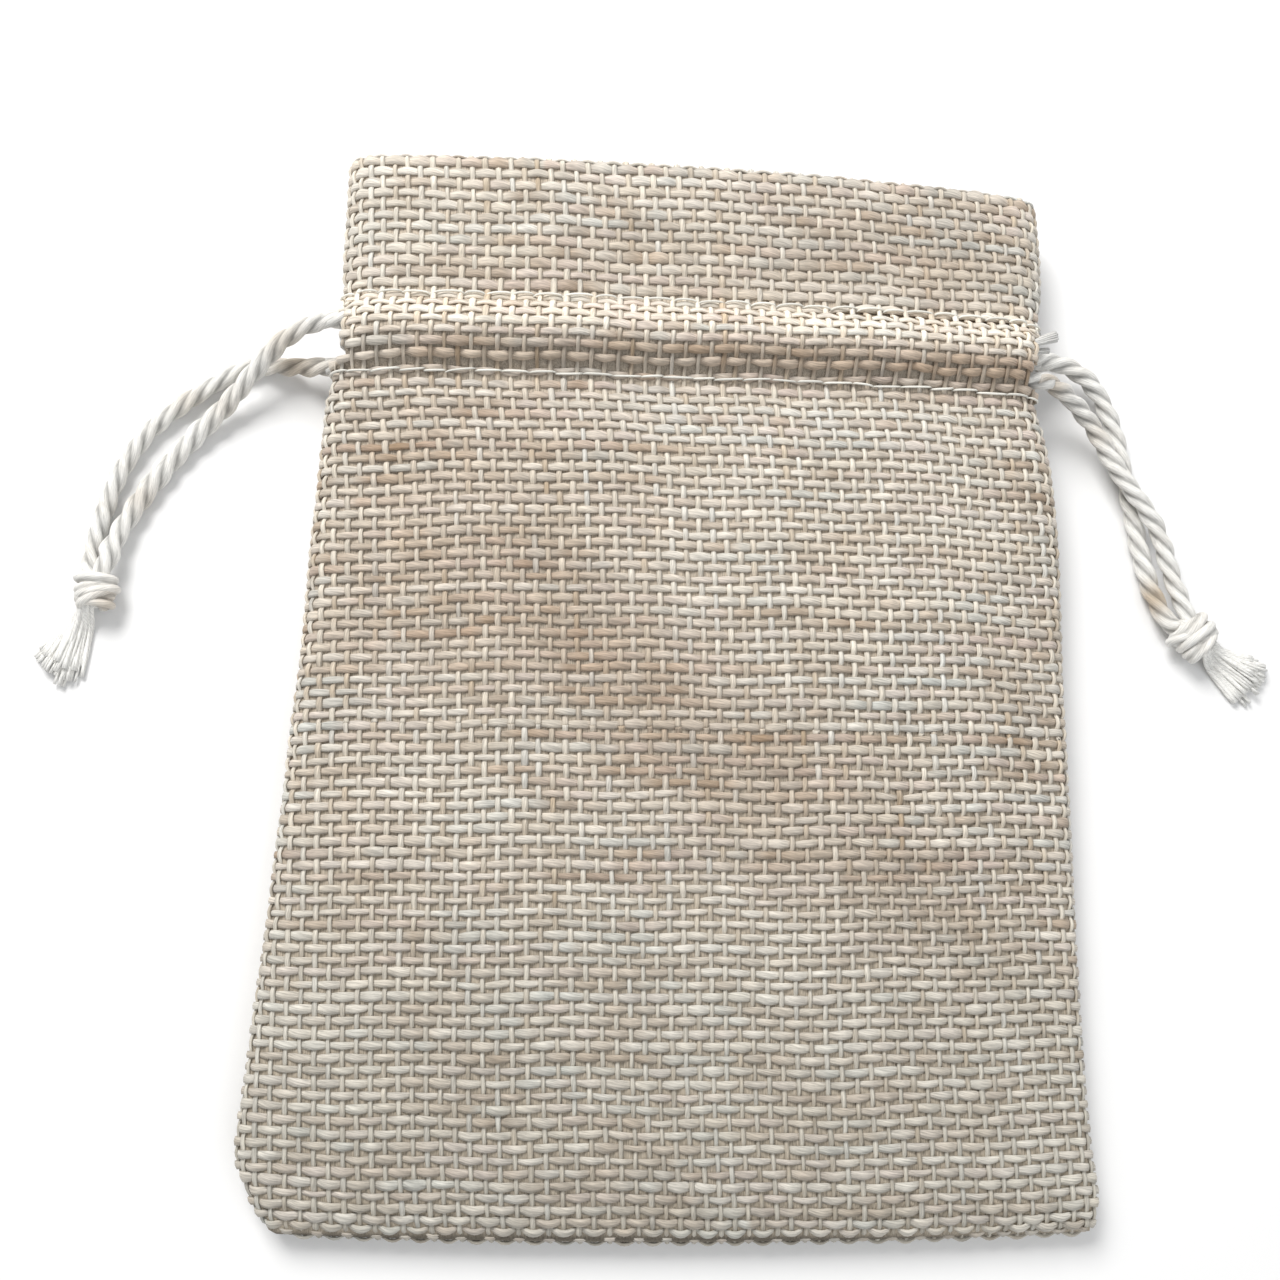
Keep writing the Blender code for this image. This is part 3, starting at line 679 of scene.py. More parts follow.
# The weave.
weave = dict(
    warpPitch=1.668,
    # the wefts' pitch by place along the cloth, from the bottom fold
    weftPitches=((-150, 1.52), (-113, 1.52), (-103, 1.40), (-20, 1.42), (0, 1.46), (20, 1.43), (60, 1.38),
                 (103, 1.38), (113, 1.50), (150, 1.53)),
    warpLean=0.0413,  # for each millimetre along the sack
    leanMiddle=67,
    firstWarp=-1.7,
    warpShift=2.7,
    meanWeftPitch=1.4,
    tilt=((-140, 0.0), (0, -0.009), (40, 0.008), (75, 0.016), (108, 0.006), (125, 0.0)),
    wander=0.22,  # how far a yarn strays from its line, in its own pitches
    waveLengths=(18, 60), waveCount=6,  # of the waves in which it strays
    depth=0.50,  # the cloth's middle, under its face
    thickness=0.07,  # how much that varies from yarn to yarn
    # at the bottom fold, the yarns within foldZone stop foldShort before the sides
    warp=dict(width=0.70, height=0.40, crimp=0.25, bulge=0.05, peak=0.9, slub=0.10, stray=0.035,
              foldZone=2.6, foldShort=1.8),
    weft=dict(width=1.03, height=0.40, crimp=0.16, bulge=0.10, peak=0.75, slub=0.13, stray=0.07,
              foldZone=1.6, foldShort=1.6),
    warpNumbers=(-36, 37),
    warpsBeyond=40, weftsBeyond=4,  # how far a yarn is followed before it is cut to the cloth
    countReach=190, countStep=0.5,  # the stretch along the cloth in which wefts are counted
    lowest=0.02,
)
# How full and wavy the yarns are by place along the cloth, and the painted light and shade on the warps.
byPlace = tableOf(
    "along weftFull weftWave warpFull warpWave warpLight",
    (-140, 1.05, 1.0, 1.00, 1.0, 1.00),
    (-20, 0.98, 1.3, 0.90, 0.8, 0.95),
    (0, 0.98, 1.7, 0.76, 0.4, 0.88),
    (25, 0.97, 1.6, 0.80, 0.5, 0.92),
    (50, 0.96, 1.2, 0.95, 0.9, 0.98),
    (60, 0.96, 1.0, 1.00, 1.0, 1.00),
    (105.5, 0.98, 1.0, 1.00, 1.0, 1.00),
    (107, 1.12, 1.8, 0.75, 0.3, 0.80),  # the casing's lower half
    (110, 1.12, 1.7, 0.80, 0.4, 0.84),
    (112, 1.05, 1.0, 1.05, 1.1, 1.08),
    (116, 1.05, 0.9, 1.15, 1.2, 1.12),
    (118, 1.14, 1.0, 1.00, 1.0, 1.00),
    (140, 1.16, 1.0, 1.00, 1.0, 1.00),
)
waves = np.column_stack([rand.uniform(*span, weave["waveCount"])
                         for span in (weave["waveLengths"], (0, math.pi), (0, math.tau))])


def strayed(across, along, which):
    total = 0.0
    chosen = waves[which::2]
    for length, heading, start in chosen:
        place = across * math.cos(heading) + along * math.sin(heading)
        total = total + np.sin(math.tau * place / length + start)
    return total / len(chosen) * weave["wander"]


def countWefts():
    reach, step = weave["countReach"], weave["countStep"]
    at = np.arange(-reach, reach, step)
    number = np.cumsum(step / np.interp(at, *np.array(weave["weftPitches"]).T))
    return at, number - np.interp(0, at, number)


weftScale = countWefts()


def countsAt(across, along):
    # how many warps and wefts lie between the first ones and this place
    tilt = np.interp(along, *np.array(weave["tilt"]).T)
    aside = np.interp(along, skin["along"], skin["aside"])
    warps = ((across + aside) / weave["warpPitch"] + weave["warpLean"] * (along - weave["leanMiddle"])
             + weave["firstWarp"] + weave["warpShift"] + strayed(across, along, 0))
    wefts = np.interp(along - tilt * across, *weftScale) + strayed(across, along, 1)
    return warps, wefts


def placeOf(warps, wefts):
    across = (warps - weave["firstWarp"]) * weave["warpPitch"]
    along = np.interp(wefts, *weftScale[::-1]) + 0 * across
    for _ in range(8):
        hereWarps, hereWefts = countsAt(across, along)
        across = across + (warps - hereWarps) * weave["warpPitch"]
        along = along + (wefts - hereWefts) * weave["meanWeftPitch"]
    return across, along


def runsOf(good, shortest):
    edges = np.flatnonzero(np.diff(np.concatenate([[0], good.astype(int), [0]])))
    return [(a, b) for a, b in zip(edges[::2], edges[1::2]) if b - a > shortest]


yarnColours = dict(
    weft=(((203, 194, 180), 5), ((216, 210, 200), 4), ((181, 163, 144), 2.2), ((199, 185, 175), 2.2),
          ((195, 196, 190), 2), ((156, 135, 113), 0.8)),
    warp=(((221, 213, 199), 6), ((209, 201, 187), 3), ((188, 170, 146), 1.6), ((214, 213, 207), 1.4)),
    unevenness=0.07,  # from float to float
    floatLength=1.7,
    patch=5.5,  # millimetres of yarn between changes of colour
    patchShift=2.5,
    ownShare=0.30,  # how far a yarn keeps to one colour
    brown=(158, 130, 102),
    pale=(206, 206, 196),
    # browner clouds, then greyer ones: place, reach and strength
    clouds=((-22, 9, 10, 0.14), (-13, 3, 10, 0.22), (-5, -3, 10, 0.32), (4, -9, 9, 0.26),
            (13, -16, 9, 0.22), (24, -25, 9, 0.20), (32, -30, 9, 0.16), (-36, 3, 11, 0.26),
            (-35, 29, 10, 0.22), (-20, 24, 18, 0.18), (12, 55, 11, 0.24), (32, 54, 11, 0.30),
            (-8, 53, 10, 0.12), (-4, -60, 8, 0.20), (-26, -49, 8, 0.16), (17, -50, 9, 0.14),
            (43, -2, 8, 0.16), (-34, -32, 9, 0.10)),
    greys=((1, 15, 11, 0.35), (31, 21, 14, 0.35), (10, -33, 10, 0.35), (23, -40, 10, 0.35),
           (-46, -46, 12, 0.50), (-33, -15, 12, 0.35), (-42, 62, 12, 0.45), (45, -56, 9, 0.45),
           (-42, 45, 9, 0.30), (10, 66, 10, 0.30), (12, 45, 5, 0.30), (25, 44.5, 6, 0.45),
           (38, 44.5, 6, 0.45)),
    cloudSwing=(0.6, 1.4),  # from yarn to yarn
    cloudMost=0.8,
    # browner along the casing's lower half: from, to, y, reach and strength at either end
    casingCloud=(-40, 46, 38.8, 2.3, 0.15, 0.80),
    grey=(219, 213, 202),
    paleBelow=(-20, 30),  # from this y down, over this many millimetres
    paleShare=0.3,
    # painted light and shade on the cloth, by y: darkest towards the bottom fold, lightest on the casing's
    # upper half
    light=((-70, 0.84), (-58, 0.84), (-45, 0.87), (-20, 0.92), (5, 0.94), (30, 0.96), (36, 0.96),
           (38, 1.00), (40.6, 0.97), (43.2, 1.22), (46.5, 1.20), (49, 0.92), (60, 0.92), (66, 1.02)),
)


def dyeOf(kind, run, place):
    # the yarn's colour at each station: patches along it, then the cloth's clouds, then its painted light and
    # shade by y
    look = yarnColours
    colours = np.array([linear(c) for c, _ in look[kind]])
    weights = np.array([w for _, w in look[kind]])
    weights = weights / weights.sum()
    own = colours[rand.choice(len(colours), p=weights)]
    count = max(3, int(run[-1] / look["patch"]) + 2)
    patch = colours[rand.choice(len(colours), size=count, p=weights)]
    shift = rand.uniform(-look["patchShift"], look["patchShift"], count)
    at = np.sort(np.linspace(0, run[-1], count) + shift)
    patches = np.column_stack([np.interp(run, at, patch[:, k]) for k in range(3)])
    dye = own * look["ownShare"] + patches * (1 - look["ownShare"])
    x, y = place[:, 0], place[:, 1]
    for name, colour in (("clouds", "brown"), ("greys", "grey")):
        share = sum(w * np.exp(-((x - a) ** 2 + (y - b) ** 2) / r ** 2) for a, b, r, w in look[name])
        if name == "clouds":
            left, right, middle, reach, weak, strong = look["casingCloud"]
            share = share + np.exp(-((y - middle) / reach) ** 2) * np.interp(x, (left, right), (weak, strong))
        share = np.clip(share * rand.uniform(*look["cloudSwing"]), 0, look["cloudMost"])[:, None]
        dye = dye * (1 - share) + linear(look[colour]) * share
    start, over = look["paleBelow"]
    share = np.clip((start - y) / over, 0, 1)[:, None] * look["paleShare"]
    dye = dye * (1 - share) + linear(look["pale"]) * share
    floats = int(run[-1] / look["floatLength"]) + 3
    uneven = np.interp(run, np.linspace(0, run[-1], floats), rand.normal(0, look["unevenness"], floats))
    # painted light and shade: each station's colour is scaled by the light table at its y
    return dye * ((1 + uneven) * np.interp(y, *np.array(look["light"]).T))[:, None]


def addYarn(bundle, kind, number, reach, perCrossing, sides):
    # one warp or weft, in runs where the cloth is whole
    look = weave[kind]
    low, high = reach
    if kind == "weft":
        warps = np.arange(-weave["warpsBeyond"], weave["warpsBeyond"], 1 / perCrossing)
        across, along = placeOf(warps, np.full_like(warps, number))
        turn = warps + number + 1
        margin = weave["warpPitch"] / perCrossing
    else:
        first, last = np.interp(reach, *weftScale)
        beyond = weave["weftsBeyond"]
        wefts = np.arange(math.floor(first) - beyond, last + beyond, 1 / perCrossing)
        across, along = placeOf(np.full_like(wefts, number), wefts)
        turn = wefts + number
        margin = weave["meanWeftPitch"] / perCrossing
    half = halfWidth(along)
    short = np.where(np.abs(along) < look["foldZone"], look["foldShort"], 0)
    if kind == "weft":
        good = np.abs(across) < half + margin - short
        across = np.clip(across, -half, half)
    else:
        good = (along > low - margin) & (along < high + margin) & (np.abs(across) < half - short)
        along = np.clip(along, low, high)
    place, normal = onCloth(across, along)
    outer = (along < mouthAt[True]) & (along > mouthAt[False])
    fromMiddle = place[:, 1] - casingMiddle
    atSlit = (fromMiddle > -sack["slitBelow"]) & (fromMiddle < sack["slitAbove"]) & outer
    good &= ~(atSlit & (np.abs(across) > halfWidth(along) - sack["slitDepth"]))
    wave = np.cos(math.pi * turn)
    full, rise = (np.interp(along, byPlace["along"], byPlace[kind + n]) for n in ("Full", "Wave"))
    height = look["crimp"] * rise * np.sign(wave) * np.abs(wave) ** look["peak"]
    thick = rand.normal(1.0, weave["thickness"]) * full
    for a, b in runsOf(good, 2 * perCrossing):
        n = b - a
        centre = place[a:b] + normal[a:b] * (height[a:b, None] - weave["depth"])
        run = runOf(centre)
        floats = n // perCrossing // 2 + 3
        slub, aside = (np.interp(run, np.linspace(0, run[-1], floats), rand.normal(0, look[k], floats))
                       for k in ("slub", "stray"))
        swollen = thick[a:b] * (1 + slub) * (1 + look["bulge"] * wave[a:b])
        centre = centre + unit(np.cross(np.gradient(centre, axis=0), normal[a:b])) * aside[:, None]
        outline = roundOutline(look["width"] / 2 * swollen, look["height"] / 2 * np.sqrt(swollen), sides)
        dye = dyeOf(kind, run, place[a:b])
        # painted shade and light on the warps: darker near the bottom fold and on the casing's lower half,
        # lighter on its upper half
        if kind == "warp":
            dye = dye * np.interp(along[a:b], byPlace["along"], byPlace["warpLight"])[:, None]
        bundle.add(centre, normal[a:b], outline, dye)


burlap = makeYarnFinish("burlap_yarn", yarnFinish)
hemShown = 17.0  # how far down the inside the hem's yarns go
# Stations for each crossing and sides, of the wefts and of the warps.
fine, coarse = ((4, 6), (3, 5)), ((3, 5), (3, 4))
panels = (
    # name, reach along the cloth, detail
    ("front_lower", (0.0, 62.0), fine),
    ("front_upper", (62.0, mouthAt[True]), fine),
    ("back", (mouthAt[False], 0.0), coarse),
    ("hem_front", (mouthAt[True], mouthAt[True] + hemShown), coarse),
    ("hem_back", (mouthAt[False] - hemShown, mouthAt[False]), coarse),
)


def weavePanels():
    made = []
    for name, reach, details in panels:
        wefts = range(*(math.ceil(n) for n in np.interp(reach, *weftScale)))
        bundles = (Bundle(), Bundle())
        for kind, numbers, detail, bundle in zip(("weft", "warp"), (wefts, range(*weave["warpNumbers"])),
                                                 details, bundles):
            for number in numbers:
                addYarn(bundle, kind, number, reach, *detail)
        for kind, bundle in zip(("wefts_", "warps_"), bundles):
            made.append(bundle.make(kind + name, burlap, weave["lowest"]))
            triangles = sum(len(p.vertices) - 2 for p in made[-1].data.polygons)
            print("sack:", kind + name, "has", triangles, "triangles")
    return made


yarnPieces = weavePanels()


# The ground: a thin sheet on the solid's folds, under the yarns.
groundLook = dict(
    roughness=0.95,
    under=0.68,  # below the solid's outer face
    foldUnder=0.18, foldFrom=-65.6,  # the same at the bottom fold
    hemFrom=47.6, hemFade=3.0,  # from this y up, the hem's inner face is drawn back too
    outerLayer=0.85,  # how deep the casing's outer layer is softened
    # a face looks out if it looks away from this line across the middle, or along the sack at its ends
    middleReach=40, endsFrom=60, endsFacing=0.7,
    gapColour=(206, 193, 176),
    lowGapColour=(186, 175, 158),  # towards the bottom fold
    highFade=(100, 0.55),  # between the two: over this much, and its share at the middle
    clouds=(180.0, 0.8),
    deepShade=0.55,  # of the darkest of the fibres there
    # painted shade in the gaps, darker at the casing's lower half and under the bottom fold: y, reach and
    # strength
    paintedGapShade=((38.8, 2.4, 0.36), (-66.4, 0.7, 0.62)),
    fibres=(0.14, 2.4),  # their width and length
    fibreContrast=(3.0, 0.9),
    bump=(0.7, 0.15),
)
insideLook = dict(roughness=0.92, colour=(186, 166, 140), deepShade=0.62, tuftForm=0.5, clouds=90.0,
                  cloudShade=(0.6, 0.6), bump=(0.9, 0.25))


def soften(v):
    # lowers the solid's ridge to the visible one, in the casing's outer layer
    x, y, z = v.co / mm
    less = ridgeAt(y, "solidForm") - ridgeAt(y)
    if abs(less) < 1e-6:
        return
    left, right, under, top, crown, turn = sectionAt(y)
    centre, reach = (left + right) / 2, (right - left) / 2 - turn
    middle, half = (top - crown + under) / 2, (top - crown - under) / 2
    away = max(0.0, abs(x - centre) - reach)
    if away > 0.01:
        out = (math.hypot(away / turn, (z - middle) / half) - 1) * turn
    else:
        out = max(z - (top - crown * (abs(x - centre) / reach) ** sack["crownForm"]), under - z)
    if out > -groundLook["outerLayer"]:
        tilt = math.atan2((z - middle) / half, away / turn)
        v.co.x -= math.copysign(sack["ridgeSide"] * less * math.cos(tilt), x) * mm
        v.co.z -= sack["ridgeRise"] * less * math.sin(tilt) * mm


def facesOut(point, normal):
    y = point.y / mm
    _, _, under, top, crown, _ = sectionAt(y)
    middle = (top - crown + under) / 2
    reach = groundLook["middleReach"] * mm
    away = Vector((point.x - max(-reach, min(reach, point.x)), 0, point.z - middle * mm))
    atEnd = abs(y) > groundLook["endsFrom"] and normal.y * math.copysign(1, y) > groundLook["endsFacing"]
    return away.dot(normal) > 0 or atEnd


def makeGapFinish():
    # what shows between the yarns
    look = groundLook
    gap = Finish("burlap_gaps", look["roughness"])
    place = gap.node("ShaderNodeTexCoord", out="Object")
    scale, swing = look["clouds"]
    cloudy = gap.noise(place, scale)
    up = gap.part(place, "Y")
    over, share = look["highFade"]
    high = up * (1 / (over * mm)) + share + (cloudy - 0.5) * swing
    high = gap.node("ShaderNodeClamp", dict(Value=high))
    tone = gap.mixed(high, *((*linear(look[n]), 1.0) for n in ("lowGapColour", "gapColour")))
    thin, long = (1 / (size * mm) for size in look["fibres"])
    fibre = gap.noise(gap.times(place, (thin, long, thin)), 1.0)
    # painted shade: the gaps are darkened in bands along y
    shade = 1.0
    for at, over, darker in look["paintedGapShade"]:
        off = (up - at * mm) * (1 / (over * mm))
        shade = shade - gap.node("ShaderNodeMath", {0: off * off * -1.0}, operation="EXPONENT") * darker
    tone = gap.mixed(1.0, tone, gap.grey(shade), "MULTIPLY")
    contrast, dark = look["fibreContrast"]
    pale = gap.node("ShaderNodeClamp", dict(Value=fibre * contrast - dark))
    deep = gap.mixed(1.0, tone, (*[look["deepShade"]] * 3, 1.0), "MULTIPLY")
    gap.feed("Base Color", gap.mixed(pale, deep, tone))
    gap.feed("Normal", gap.bump(fibre, *look["bump"]))
    return gap.material


def makeInsideFinish():
    look = insideLook
    inside = Finish("burlap_inside", look["roughness"])
    place = inside.node("ShaderNodeTexCoord", out="Object")

    def wave(axis, pitch):
        turn = inside.part(place, axis) * (math.pi / (pitch * mm))
        return inside.node("ShaderNodeMath", {0: turn}, operation="SINE")

    # painted shade: the hollows between the weave's tufts are painted darker than the tufts' tops
    over = wave("X", weave["warpPitch"]) * wave("Y", weave["meanWeftPitch"])
    height = inside.node("ShaderNodeMath", {0: over}, operation="ABSOLUTE") ** look["tuftForm"]
    tone = inside.noise(place, look["clouds"], 3.0)
    deep, light = ((*linear([c * share for c in look["colour"]]), 1.0) for share in (look["deepShade"], 1.0))
    least, swing = look["cloudShade"]
    inside.feed("Base Color", inside.mixed(height * (least + tone * swing), deep, light))
    inside.feed("Normal", inside.bump(height, *look["bump"]))
    return inside.material


def makeGround():
    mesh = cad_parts["sack_cloth"].data.copy()
    mesh.name = "burlap_ground"
    mesh.materials.clear()
    work = bmesh.new()
    work.from_mesh(mesh)
    bmesh.ops.remove_doubles(work, verts=work.verts, dist=1e-6)
    for v in work.verts:
        soften(v)
    work.normal_update()
    moves = []
    for v in work.verts:
        y = v.co.y / mm
        share = 1.0 if v.co.y > groundLook["foldFrom"] * mm else groundLook["foldUnder"] / groundLook["under"]
        if not facesOut(v.co, v.normal):
            share = min(1.0, max(0.0, (y - groundLook["hemFrom"]) / groundLook["hemFade"]))
        moves.append(v.normal * (-groundLook["under"] * share * mm))
    for v, move in zip(list(work.verts), moves):
        v.co += move
    work.normal_update()
    for face in work.faces:
        face.smooth = True
        face.material_index = 0 if facesOut(face.calc_center_median(), face.normal) else 1
    work.to_mesh(mesh)
    work.free()
    mesh.materials.append(makeGapFinish())
    mesh.materials.append(makeInsideFinish())
    piece = added("burlap_ground", mesh)
    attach(piece, "root")
    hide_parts("sack_cloth")
    return piece


ground = makeGround()
print("sack: the ground is laid")


# The stitching: two lines round the sack that make the casing.
stitching = dict(
    length=3.4, overlap=0.05, fromSides=0.4, holeStray=0.3,  # along the line
    radius=0.155, radiusSwing=(0.9, 1.12), slimEnds=0.25,
    sides=6, stations=9,
    proud=0.14,  # over the cloth's face at the middle of a stitch
    dip=0.30,  # under it at its ends
    archForm=0.45,
    stray=0.10,  # to either side
    slant=0.22, slantSwing=(-0.3, 1.2),  # how far a stitch climbs from its start to its end
    arch=0.16, archSwing=(0, 1.2),  # how far its middle rises over its ends, along the cloth
    colour=(230, 228, 220), shade=(0.86, 1.06),
)
stitchFinish = dict(slot="burlap", roughness=0.75, sheen=0.1, fibreLength=1.2, fibreWidth=0.08,
                    twist=0.8, darkFibres=0.2, bumpDepth=0.03)


def alongAt(y, front):
    rows = (skin["kinds"] == "outer") & ((skin["along"] > 0) == front)
    height, along = skin["heights"][rows], skin["along"][rows]
    order = np.argsort(height)
    return float(np.interp(y, height[order], along[order]))


def sewCasing():
    look, thread = stitching, Bundle()
    t = np.linspace(0, 1, look["stations"])
    arch = np.sin(math.pi * t) ** look["archForm"]
    rise = -look["dip"] + (look["dip"] + look["proud"]) * arch
    for y, front in product((sack["lowerStitch"], sack["upperStitch"]), (True, False)):
        along = alongAt(y, front)
        half = float(halfWidth(along)) - look["fromSides"]
        count = round(2 * half / look["length"])
        holes = np.linspace(-half, half, count + 1) + rand.normal(0, look["holeStray"], count + 1)
        aside = rand.uniform(-1, 1, count + 1) * look["stray"]
        for k in range(count):
            slant = look["slant"] * rand.uniform(*look["slantSwing"])
            drift = aside[k] + (aside[k + 1] - aside[k]) * t + slant * (t - 0.5)
            drift += look["arch"] * rand.uniform(*look["archSwing"]) * arch
            across = holes[k] - look["overlap"] + (holes[k + 1] - holes[k] + 2 * look["overlap"]) * t
            point, normal = onCloth(np.clip(across, -half, half), along + drift)
            slim = 1 - look["slimEnds"] + look["slimEnds"] * arch
            size = look["radius"] * slim * rand.uniform(*look["radiusSwing"])
            tone = linear(look["colour"]) * rand.uniform(*look["shade"])
            thread.add(point + normal * rise[:, None], normal, roundOutline(size, size, look["sides"]), tone)
    return thread.make("casing_stitches", makeYarnFinish("stitch_thread", stitchFinish), weave["lowest"])


stitches = sewCasing()
print("sack: the casing is sewn")


# The stretch of each cord inside the casing, which only its slits let one see.
hiddenCord = dict(cordLook, curveStep=0.3, step=0.9, sides=12, lane=1.4)


def casingRoute(side):
    # from the front strand to the back one; side is -1 for the left cord
    left, right, under, top, crown, turn = sectionAt(casingMiddle)
    lane = -side * hiddenCord["lane"]
    near, far = (left + turn, right - turn)[::-side]
    thick, rise = sack["clothThick"], sack["ridgeRise"]

    def face(x, offset, front):
        s = min(1.0, abs(x - (left + right) / 2) / ((right - left) / 2 - turn))
        z = top - thick + rise / 2 - crown * s ** sack["crownForm"] if front else under + thick - rise / 2
        return (x, casingMiddle + offset, z)

    high, low = face(far, 0, True)[2], face(far, 0, False)[2]
    depth = turn + sack["ridgeSide"] - thick - rise / 2

    def bend(x, degrees, away, offset):
        a = math.radians(degrees)
        z = (high + low) / 2 + (high - low) / 2 * math.sin(a)
        return (x + away * depth * math.cos(a), casingMiddle + offset, z)

    over = (0.05, 0.2, 0.4, 0.6, 0.8, 0.95)
    leave = ((36, 1.5), (62, 1.3), (90, 1.1))
    points = [bend(near, a, side, lane * off) for a, off in leave]
    points += [face(near + (far - near) * t, lane, True) for t in over]
    points += [bend(far, a, -side, lane * math.sin(math.radians(a))) for a in range(90, -91, -30)]
    points += [face(far + (near - far) * t, -lane, False) for t in over]
    points += [bend(near, -a, side, -lane * off) for a, off in leave[::-1]]
    return points


hiddenPieces = {}
for name, side in (("left", -1), ("right", 1)):
    first, last = (strands[name + end]["points"][1] for end in ("_front", "_back"))
    route = [first, *casingRoute(side), last]
    hiddenPieces[name], _ = makeCord(name + "_in_casing", route, hiddenCord, seed=7)


# The knots: wraps of the cord round a core. A wrap has its place along the knot's line, its lean, its place
# aside, its reach across and up, the rope's size, its plies' turn and its own from and to in degrees.
wrapColumns = "along lean aside across up rope phase start end dirt"
knots = dict(
    left=dict(
        middle=(-73.3, 9.2, 2.45), heading=(0.03, -1.0), core=(2.2, 1.9, 1.75),
        wraps=tableOf(
            wrapColumns,
            (-1.25, 0.35, 0.00, 1.85, 1.35, 0.98, 0.6, -95, 265, 0.0),
            (0.15, -0.15, 0.05, 1.90, 1.38, 1.00, 0.9, -95, 265, 0.15),
            (0.85, -0.60, 0.05, 1.75, 1.25, 0.98, 0.2, -100, 250, 0.35),
            (1.55, 0.25, 0.35, 1.25, 0.95, 0.88, 1.1, -80, 230, 0.5),
        ),
    ),
    right=dict(
        middle=(67.4, 7.4, 2.7), heading=(0.58, -0.81), core=(2.6, 2.1, 1.95),
        wraps=tableOf(
            wrapColumns,
            (1.75, -0.25, -0.10, 1.75, 1.25, 1.00, 0.9, -95, 265, 0.1),
            (0.45, 0.20, 0.30, 2.00, 1.45, 1.15, 0.6, -95, 265, 0.0),
            (-0.90, -0.15, 0.30, 1.95, 1.35, 1.02, 0.1, -95, 265, 0.1),
            (-0.40, 0.55, -1.30, 1.30, 0.95, 0.92, 1.4, -60, 250, 0.0),
        ),
    ),
)
wrapLook = dict(cordLook, layLength=24.0, plyRadius=0.62, plyPlace=0.54, sides=20, stations=60, step=0.32,
                grooveShade=0.42, lowest=0.02, dirtAt=(0.35, 0.25), overSize=1.1)
coreLook = dict(stations=15, sides=16, form=2.4, least=0.02, seed=11)


def knotFrame(knot):
    along = unit(np.array([*knot["heading"], 0.0]))
    return np.array(knot["middle"]), along, np.array([-along[1], along[0], 0.0]), np.array([0.0, 0.0, 1.0])


def tieKnot(name, knot):
    look, bundle = wrapLook, Bundle()
    middle, along, across, up = knotFrame(knot)
    length, wide, high = knot["core"]
    t = np.linspace(-1, 1, coreLook["stations"])
    girth = np.sqrt(np.maximum(1 - np.abs(t) ** coreLook["form"], coreLook["least"]))
    bundle.add(middle + along * (t * length)[:, None], up,
               roundOutline(wide * girth, high * girth, coreLook["sides"]),
               cordDye(len(t), seed=coreLook["seed"]))
    for place, lean, aside, reach, rise, rope, phase, start, end, dirt in zip(*knot["wraps"].values()):
        a = np.radians(np.linspace(start, end, look["stations"]))
        line = (middle + along * (place + lean * np.cos(a))[:, None]
                + across * (aside + reach * np.cos(a))[:, None] + up * (rise * np.sin(a))[:, None])
        line = spaced(line, look["step"])
        run = np.arange(len(line)) * look["step"]
        turn = phase * math.pi + math.tau * run / look["layLength"]
        outline = plyOutline(turn, 1.0, look) * rope / look["overSize"]
        dye = cordDye(len(line), ((*look["dirtAt"], dirt),), seed=int(rope * 100))
        bundle.add(line, unit(line - (middle + along * place)), outline, shaded(dye, outline, look))
    piece = bundle.make(name + "_wraps", cotton, look["lowest"])
    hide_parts(name)
    return piece


knotPieces = {side: tieKnot("knot_" + side, knots[side]) for side in knots}
print("sack: the knots are tied")


# The tassels: the cords' own ends below each knot, in locks of fine threads.
lockColumns = "x y z wide threads"
tassels = dict(
    threadRadius=0.235, radiusSwing=(0.85, 1.25), taper=(1.1, 0.85), threadSides=5, stations=12,
    insideKnot=0.3,
    rootShare=0.32, rootMost=1.3,  # how far aside a lock leaves the knot, of its tip's place
    rootRise=(-0.3, 0.5),
    neck=1.7, neckShare=0.22,  # how far a lock keeps to the knot's line
    fallBy=0.5,  # of its length, a lock is down at its tip's height
    fill=0.75,  # of a lock's threads
    narrow=0.55,  # how wide a lock is at its root
    flatness=0.75,
    lockTurn=0.1, lockTwist=0.3,  # in turns, from one lock to the next, and from a lock's root to its tip
    wave=0.10, waves=(0.8, 2.0),
    cut=(0.88, 1.0),  # how much of its length a thread keeps
    shade=(0.97, 1.09),
    # each lock: where its tip lies, how wide it is there and its threads
    left=tableOf(
        lockColumns,
        (-80.4, 0.6, 0.60, 0.62, 16), (-79.8, -0.1, 0.95, 0.62, 16), (-79.0, -0.9, 0.75, 0.66, 18),
        (-78.2, -1.3, 0.60, 0.66, 18), (-77.9, -1.0, 1.55, 0.60, 15), (-77.2, -2.7, 0.60, 0.62, 17),
        (-76.8, -2.0, 1.25, 0.60, 15), (-76.0, -2.1, 0.75, 0.62, 17), (-74.8, -1.5, 0.45, 0.30, 10),
    ),
    right=tableOf(
        lockColumns,
        (77.0, 4.5, 0.80, 0.58, 15), (77.8, 3.9, 0.65, 0.62, 17), (77.6, 3.0, 1.05, 0.62, 16),
        (77.5, 2.1, 0.70, 0.62, 17), (76.9, 1.2, 0.65, 0.62, 17), (76.4, 1.9, 1.60, 0.60, 15),
        (76.4, 0.2, 1.10, 0.60, 16), (75.8, -0.7, 0.75, 0.60, 16), (75.1, -1.3, 0.50, 0.45, 12),
        (74.4, -2.0, 0.45, 0.35, 12),
    ),
)


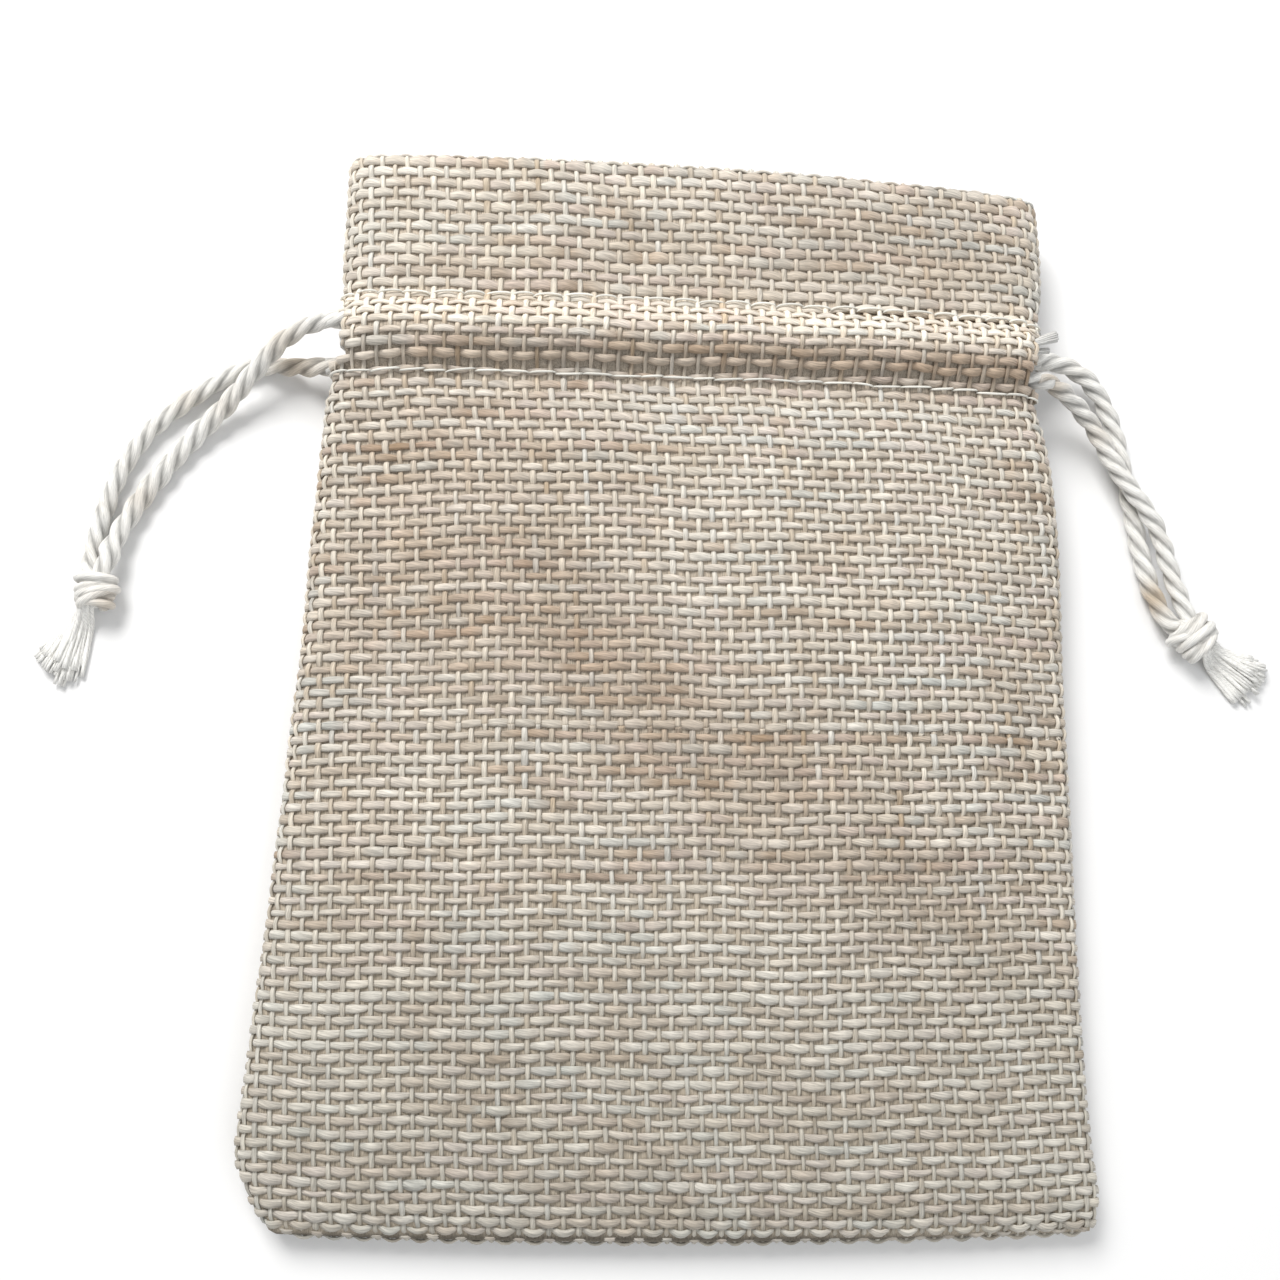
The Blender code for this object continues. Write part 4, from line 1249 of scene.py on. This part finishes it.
def makeTassel(name, knot, locks):
    look, bundle = tassels, Bundle()
    middle, along, across, up = knotFrame(knot)
    root = middle + along * (knot["core"][0] - look["insideKnot"])
    t = np.linspace(0, 1, look["stations"])
    u = t[:, None]
    fall = np.clip(t / look["fallBy"], 0, 1)
    for k, (x, y, z, wide, threads) in enumerate(zip(*locks.values())):
        tip = np.array([x, y, z])
        sideways = float((tip - root) @ across)
        aside = np.clip(sideways * look["rootShare"], -look["rootMost"], look["rootMost"])
        start = root + across * aside + up * rand.uniform(*look["rootRise"])
        leave = start + along * look["neck"] + across * sideways * look["neckShare"]
        line = start * (1 - u) ** 2 + 2 * leave * u * (1 - u) + tip * u ** 2
        line[:, 2] = start[2] + (z - start[2]) * fall ** 2 * (3 - 2 * fall)
        beside = unit(np.cross(unit(np.gradient(line, axis=0)), up))
        narrow, laid = look["narrow"], threads * look["fill"]
        for n in range(round(laid)):
            spread = (narrow + (wide / narrow - narrow) * t) * narrow * math.sqrt((n + 0.5) / laid)
            turn = math.tau * (n * goldenShare + look["lockTurn"] * k) + math.tau * look["lockTwist"] * t
            wavy = look["wave"] * np.sin(math.tau * (t * rand.uniform(*look["waves"]) + rand.random())) * t
            path = (line + beside * (spread * np.cos(turn) + wavy)[:, None]
                    + up * (spread * look["flatness"] * np.sin(turn))[:, None])
            path = path[: int(round(len(path) * rand.uniform(*look["cut"])))]
            size = look["threadRadius"] * rand.uniform(*look["radiusSwing"])
            size = size * np.linspace(*look["taper"], len(path))
            tone = linear(cordLook["colour"]) * rand.uniform(*look["shade"])
            bundle.add(path, up, roundOutline(size, size, look["threadSides"]), tone)
    piece = bundle.make(name + "_threads", cotton, 0.0)
    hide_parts(name)
    return piece


tasselPieces = {side: makeTassel("tassel_" + side, knots[side], tassels[side]) for side in knots}
print("sack: the tassels are laid")


# Frayed ends of the cloth's own yarns at the right slit.
frayLook = dict(
    radius=0.16, radiusSwing=(0.8, 1.2), sides=5, stations=7,
    spread=(0.6, 0.7),  # of its width at the root, and more at the end
    sag=0.25,
    colour=(216, 215, 212), shade=(0.85, 1.1),
    bunches=tableOf(
        "x y z toX toY toZ wide threads",
        (44.9, 44.1, 9.6, 48.6, 45.4, 9.9, 0.56, 20),
        (44.8, 43.4, 8.9, 48.0, 43.9, 8.8, 0.26, 6),
        (45.2, 45.6, 8.3, 47.2, 46.5, 8.0, 0.16, 3),
    ),
)


def makeFrays():
    look, bundle = frayLook, Bundle()
    up = np.array([0, 0, 1.0])
    t = np.linspace(0, 1, look["stations"])[:, None]
    root, more = look["spread"]
    for x, y, z, toX, toY, toZ, wide, threads in zip(*look["bunches"].values()):
        start, end = np.array([x, y, z]), np.array([toX, toY, toZ])
        aside = unit(np.cross(end - start, up))
        for n in range(int(threads)):
            angle = math.tau * n * goldenShare
            out = wide * math.sqrt((n + 0.5) / threads) * (root + more * t)
            path = start + (end - start) * t + aside * out * math.cos(angle) + up * out * math.sin(angle)
            path[:, 2] -= look["sag"] * t[:, 0] ** 2
            size = np.full(len(t), look["radius"]) * rand.uniform(*look["radiusSwing"])
            tone = linear(look["colour"]) * rand.uniform(*look["shade"])
            bundle.add(path, up, roundOutline(size, size, look["sides"]), tone)
    return bundle.make("slit_frays", burlap, weave["lowest"])


frayPiece = makeFrays()


# Hide the part's own drawcords; each free stretch's length is worked out, and not kept.
for side in ("left", "right"):
    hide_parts("drawcord_" + side)
    for place in ("front", "back"):
        piece, line = strandPieces[side + "_" + place]
        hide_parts("drawcord_" + side)
        lengthOf(line) * mm

print("sack: ready")
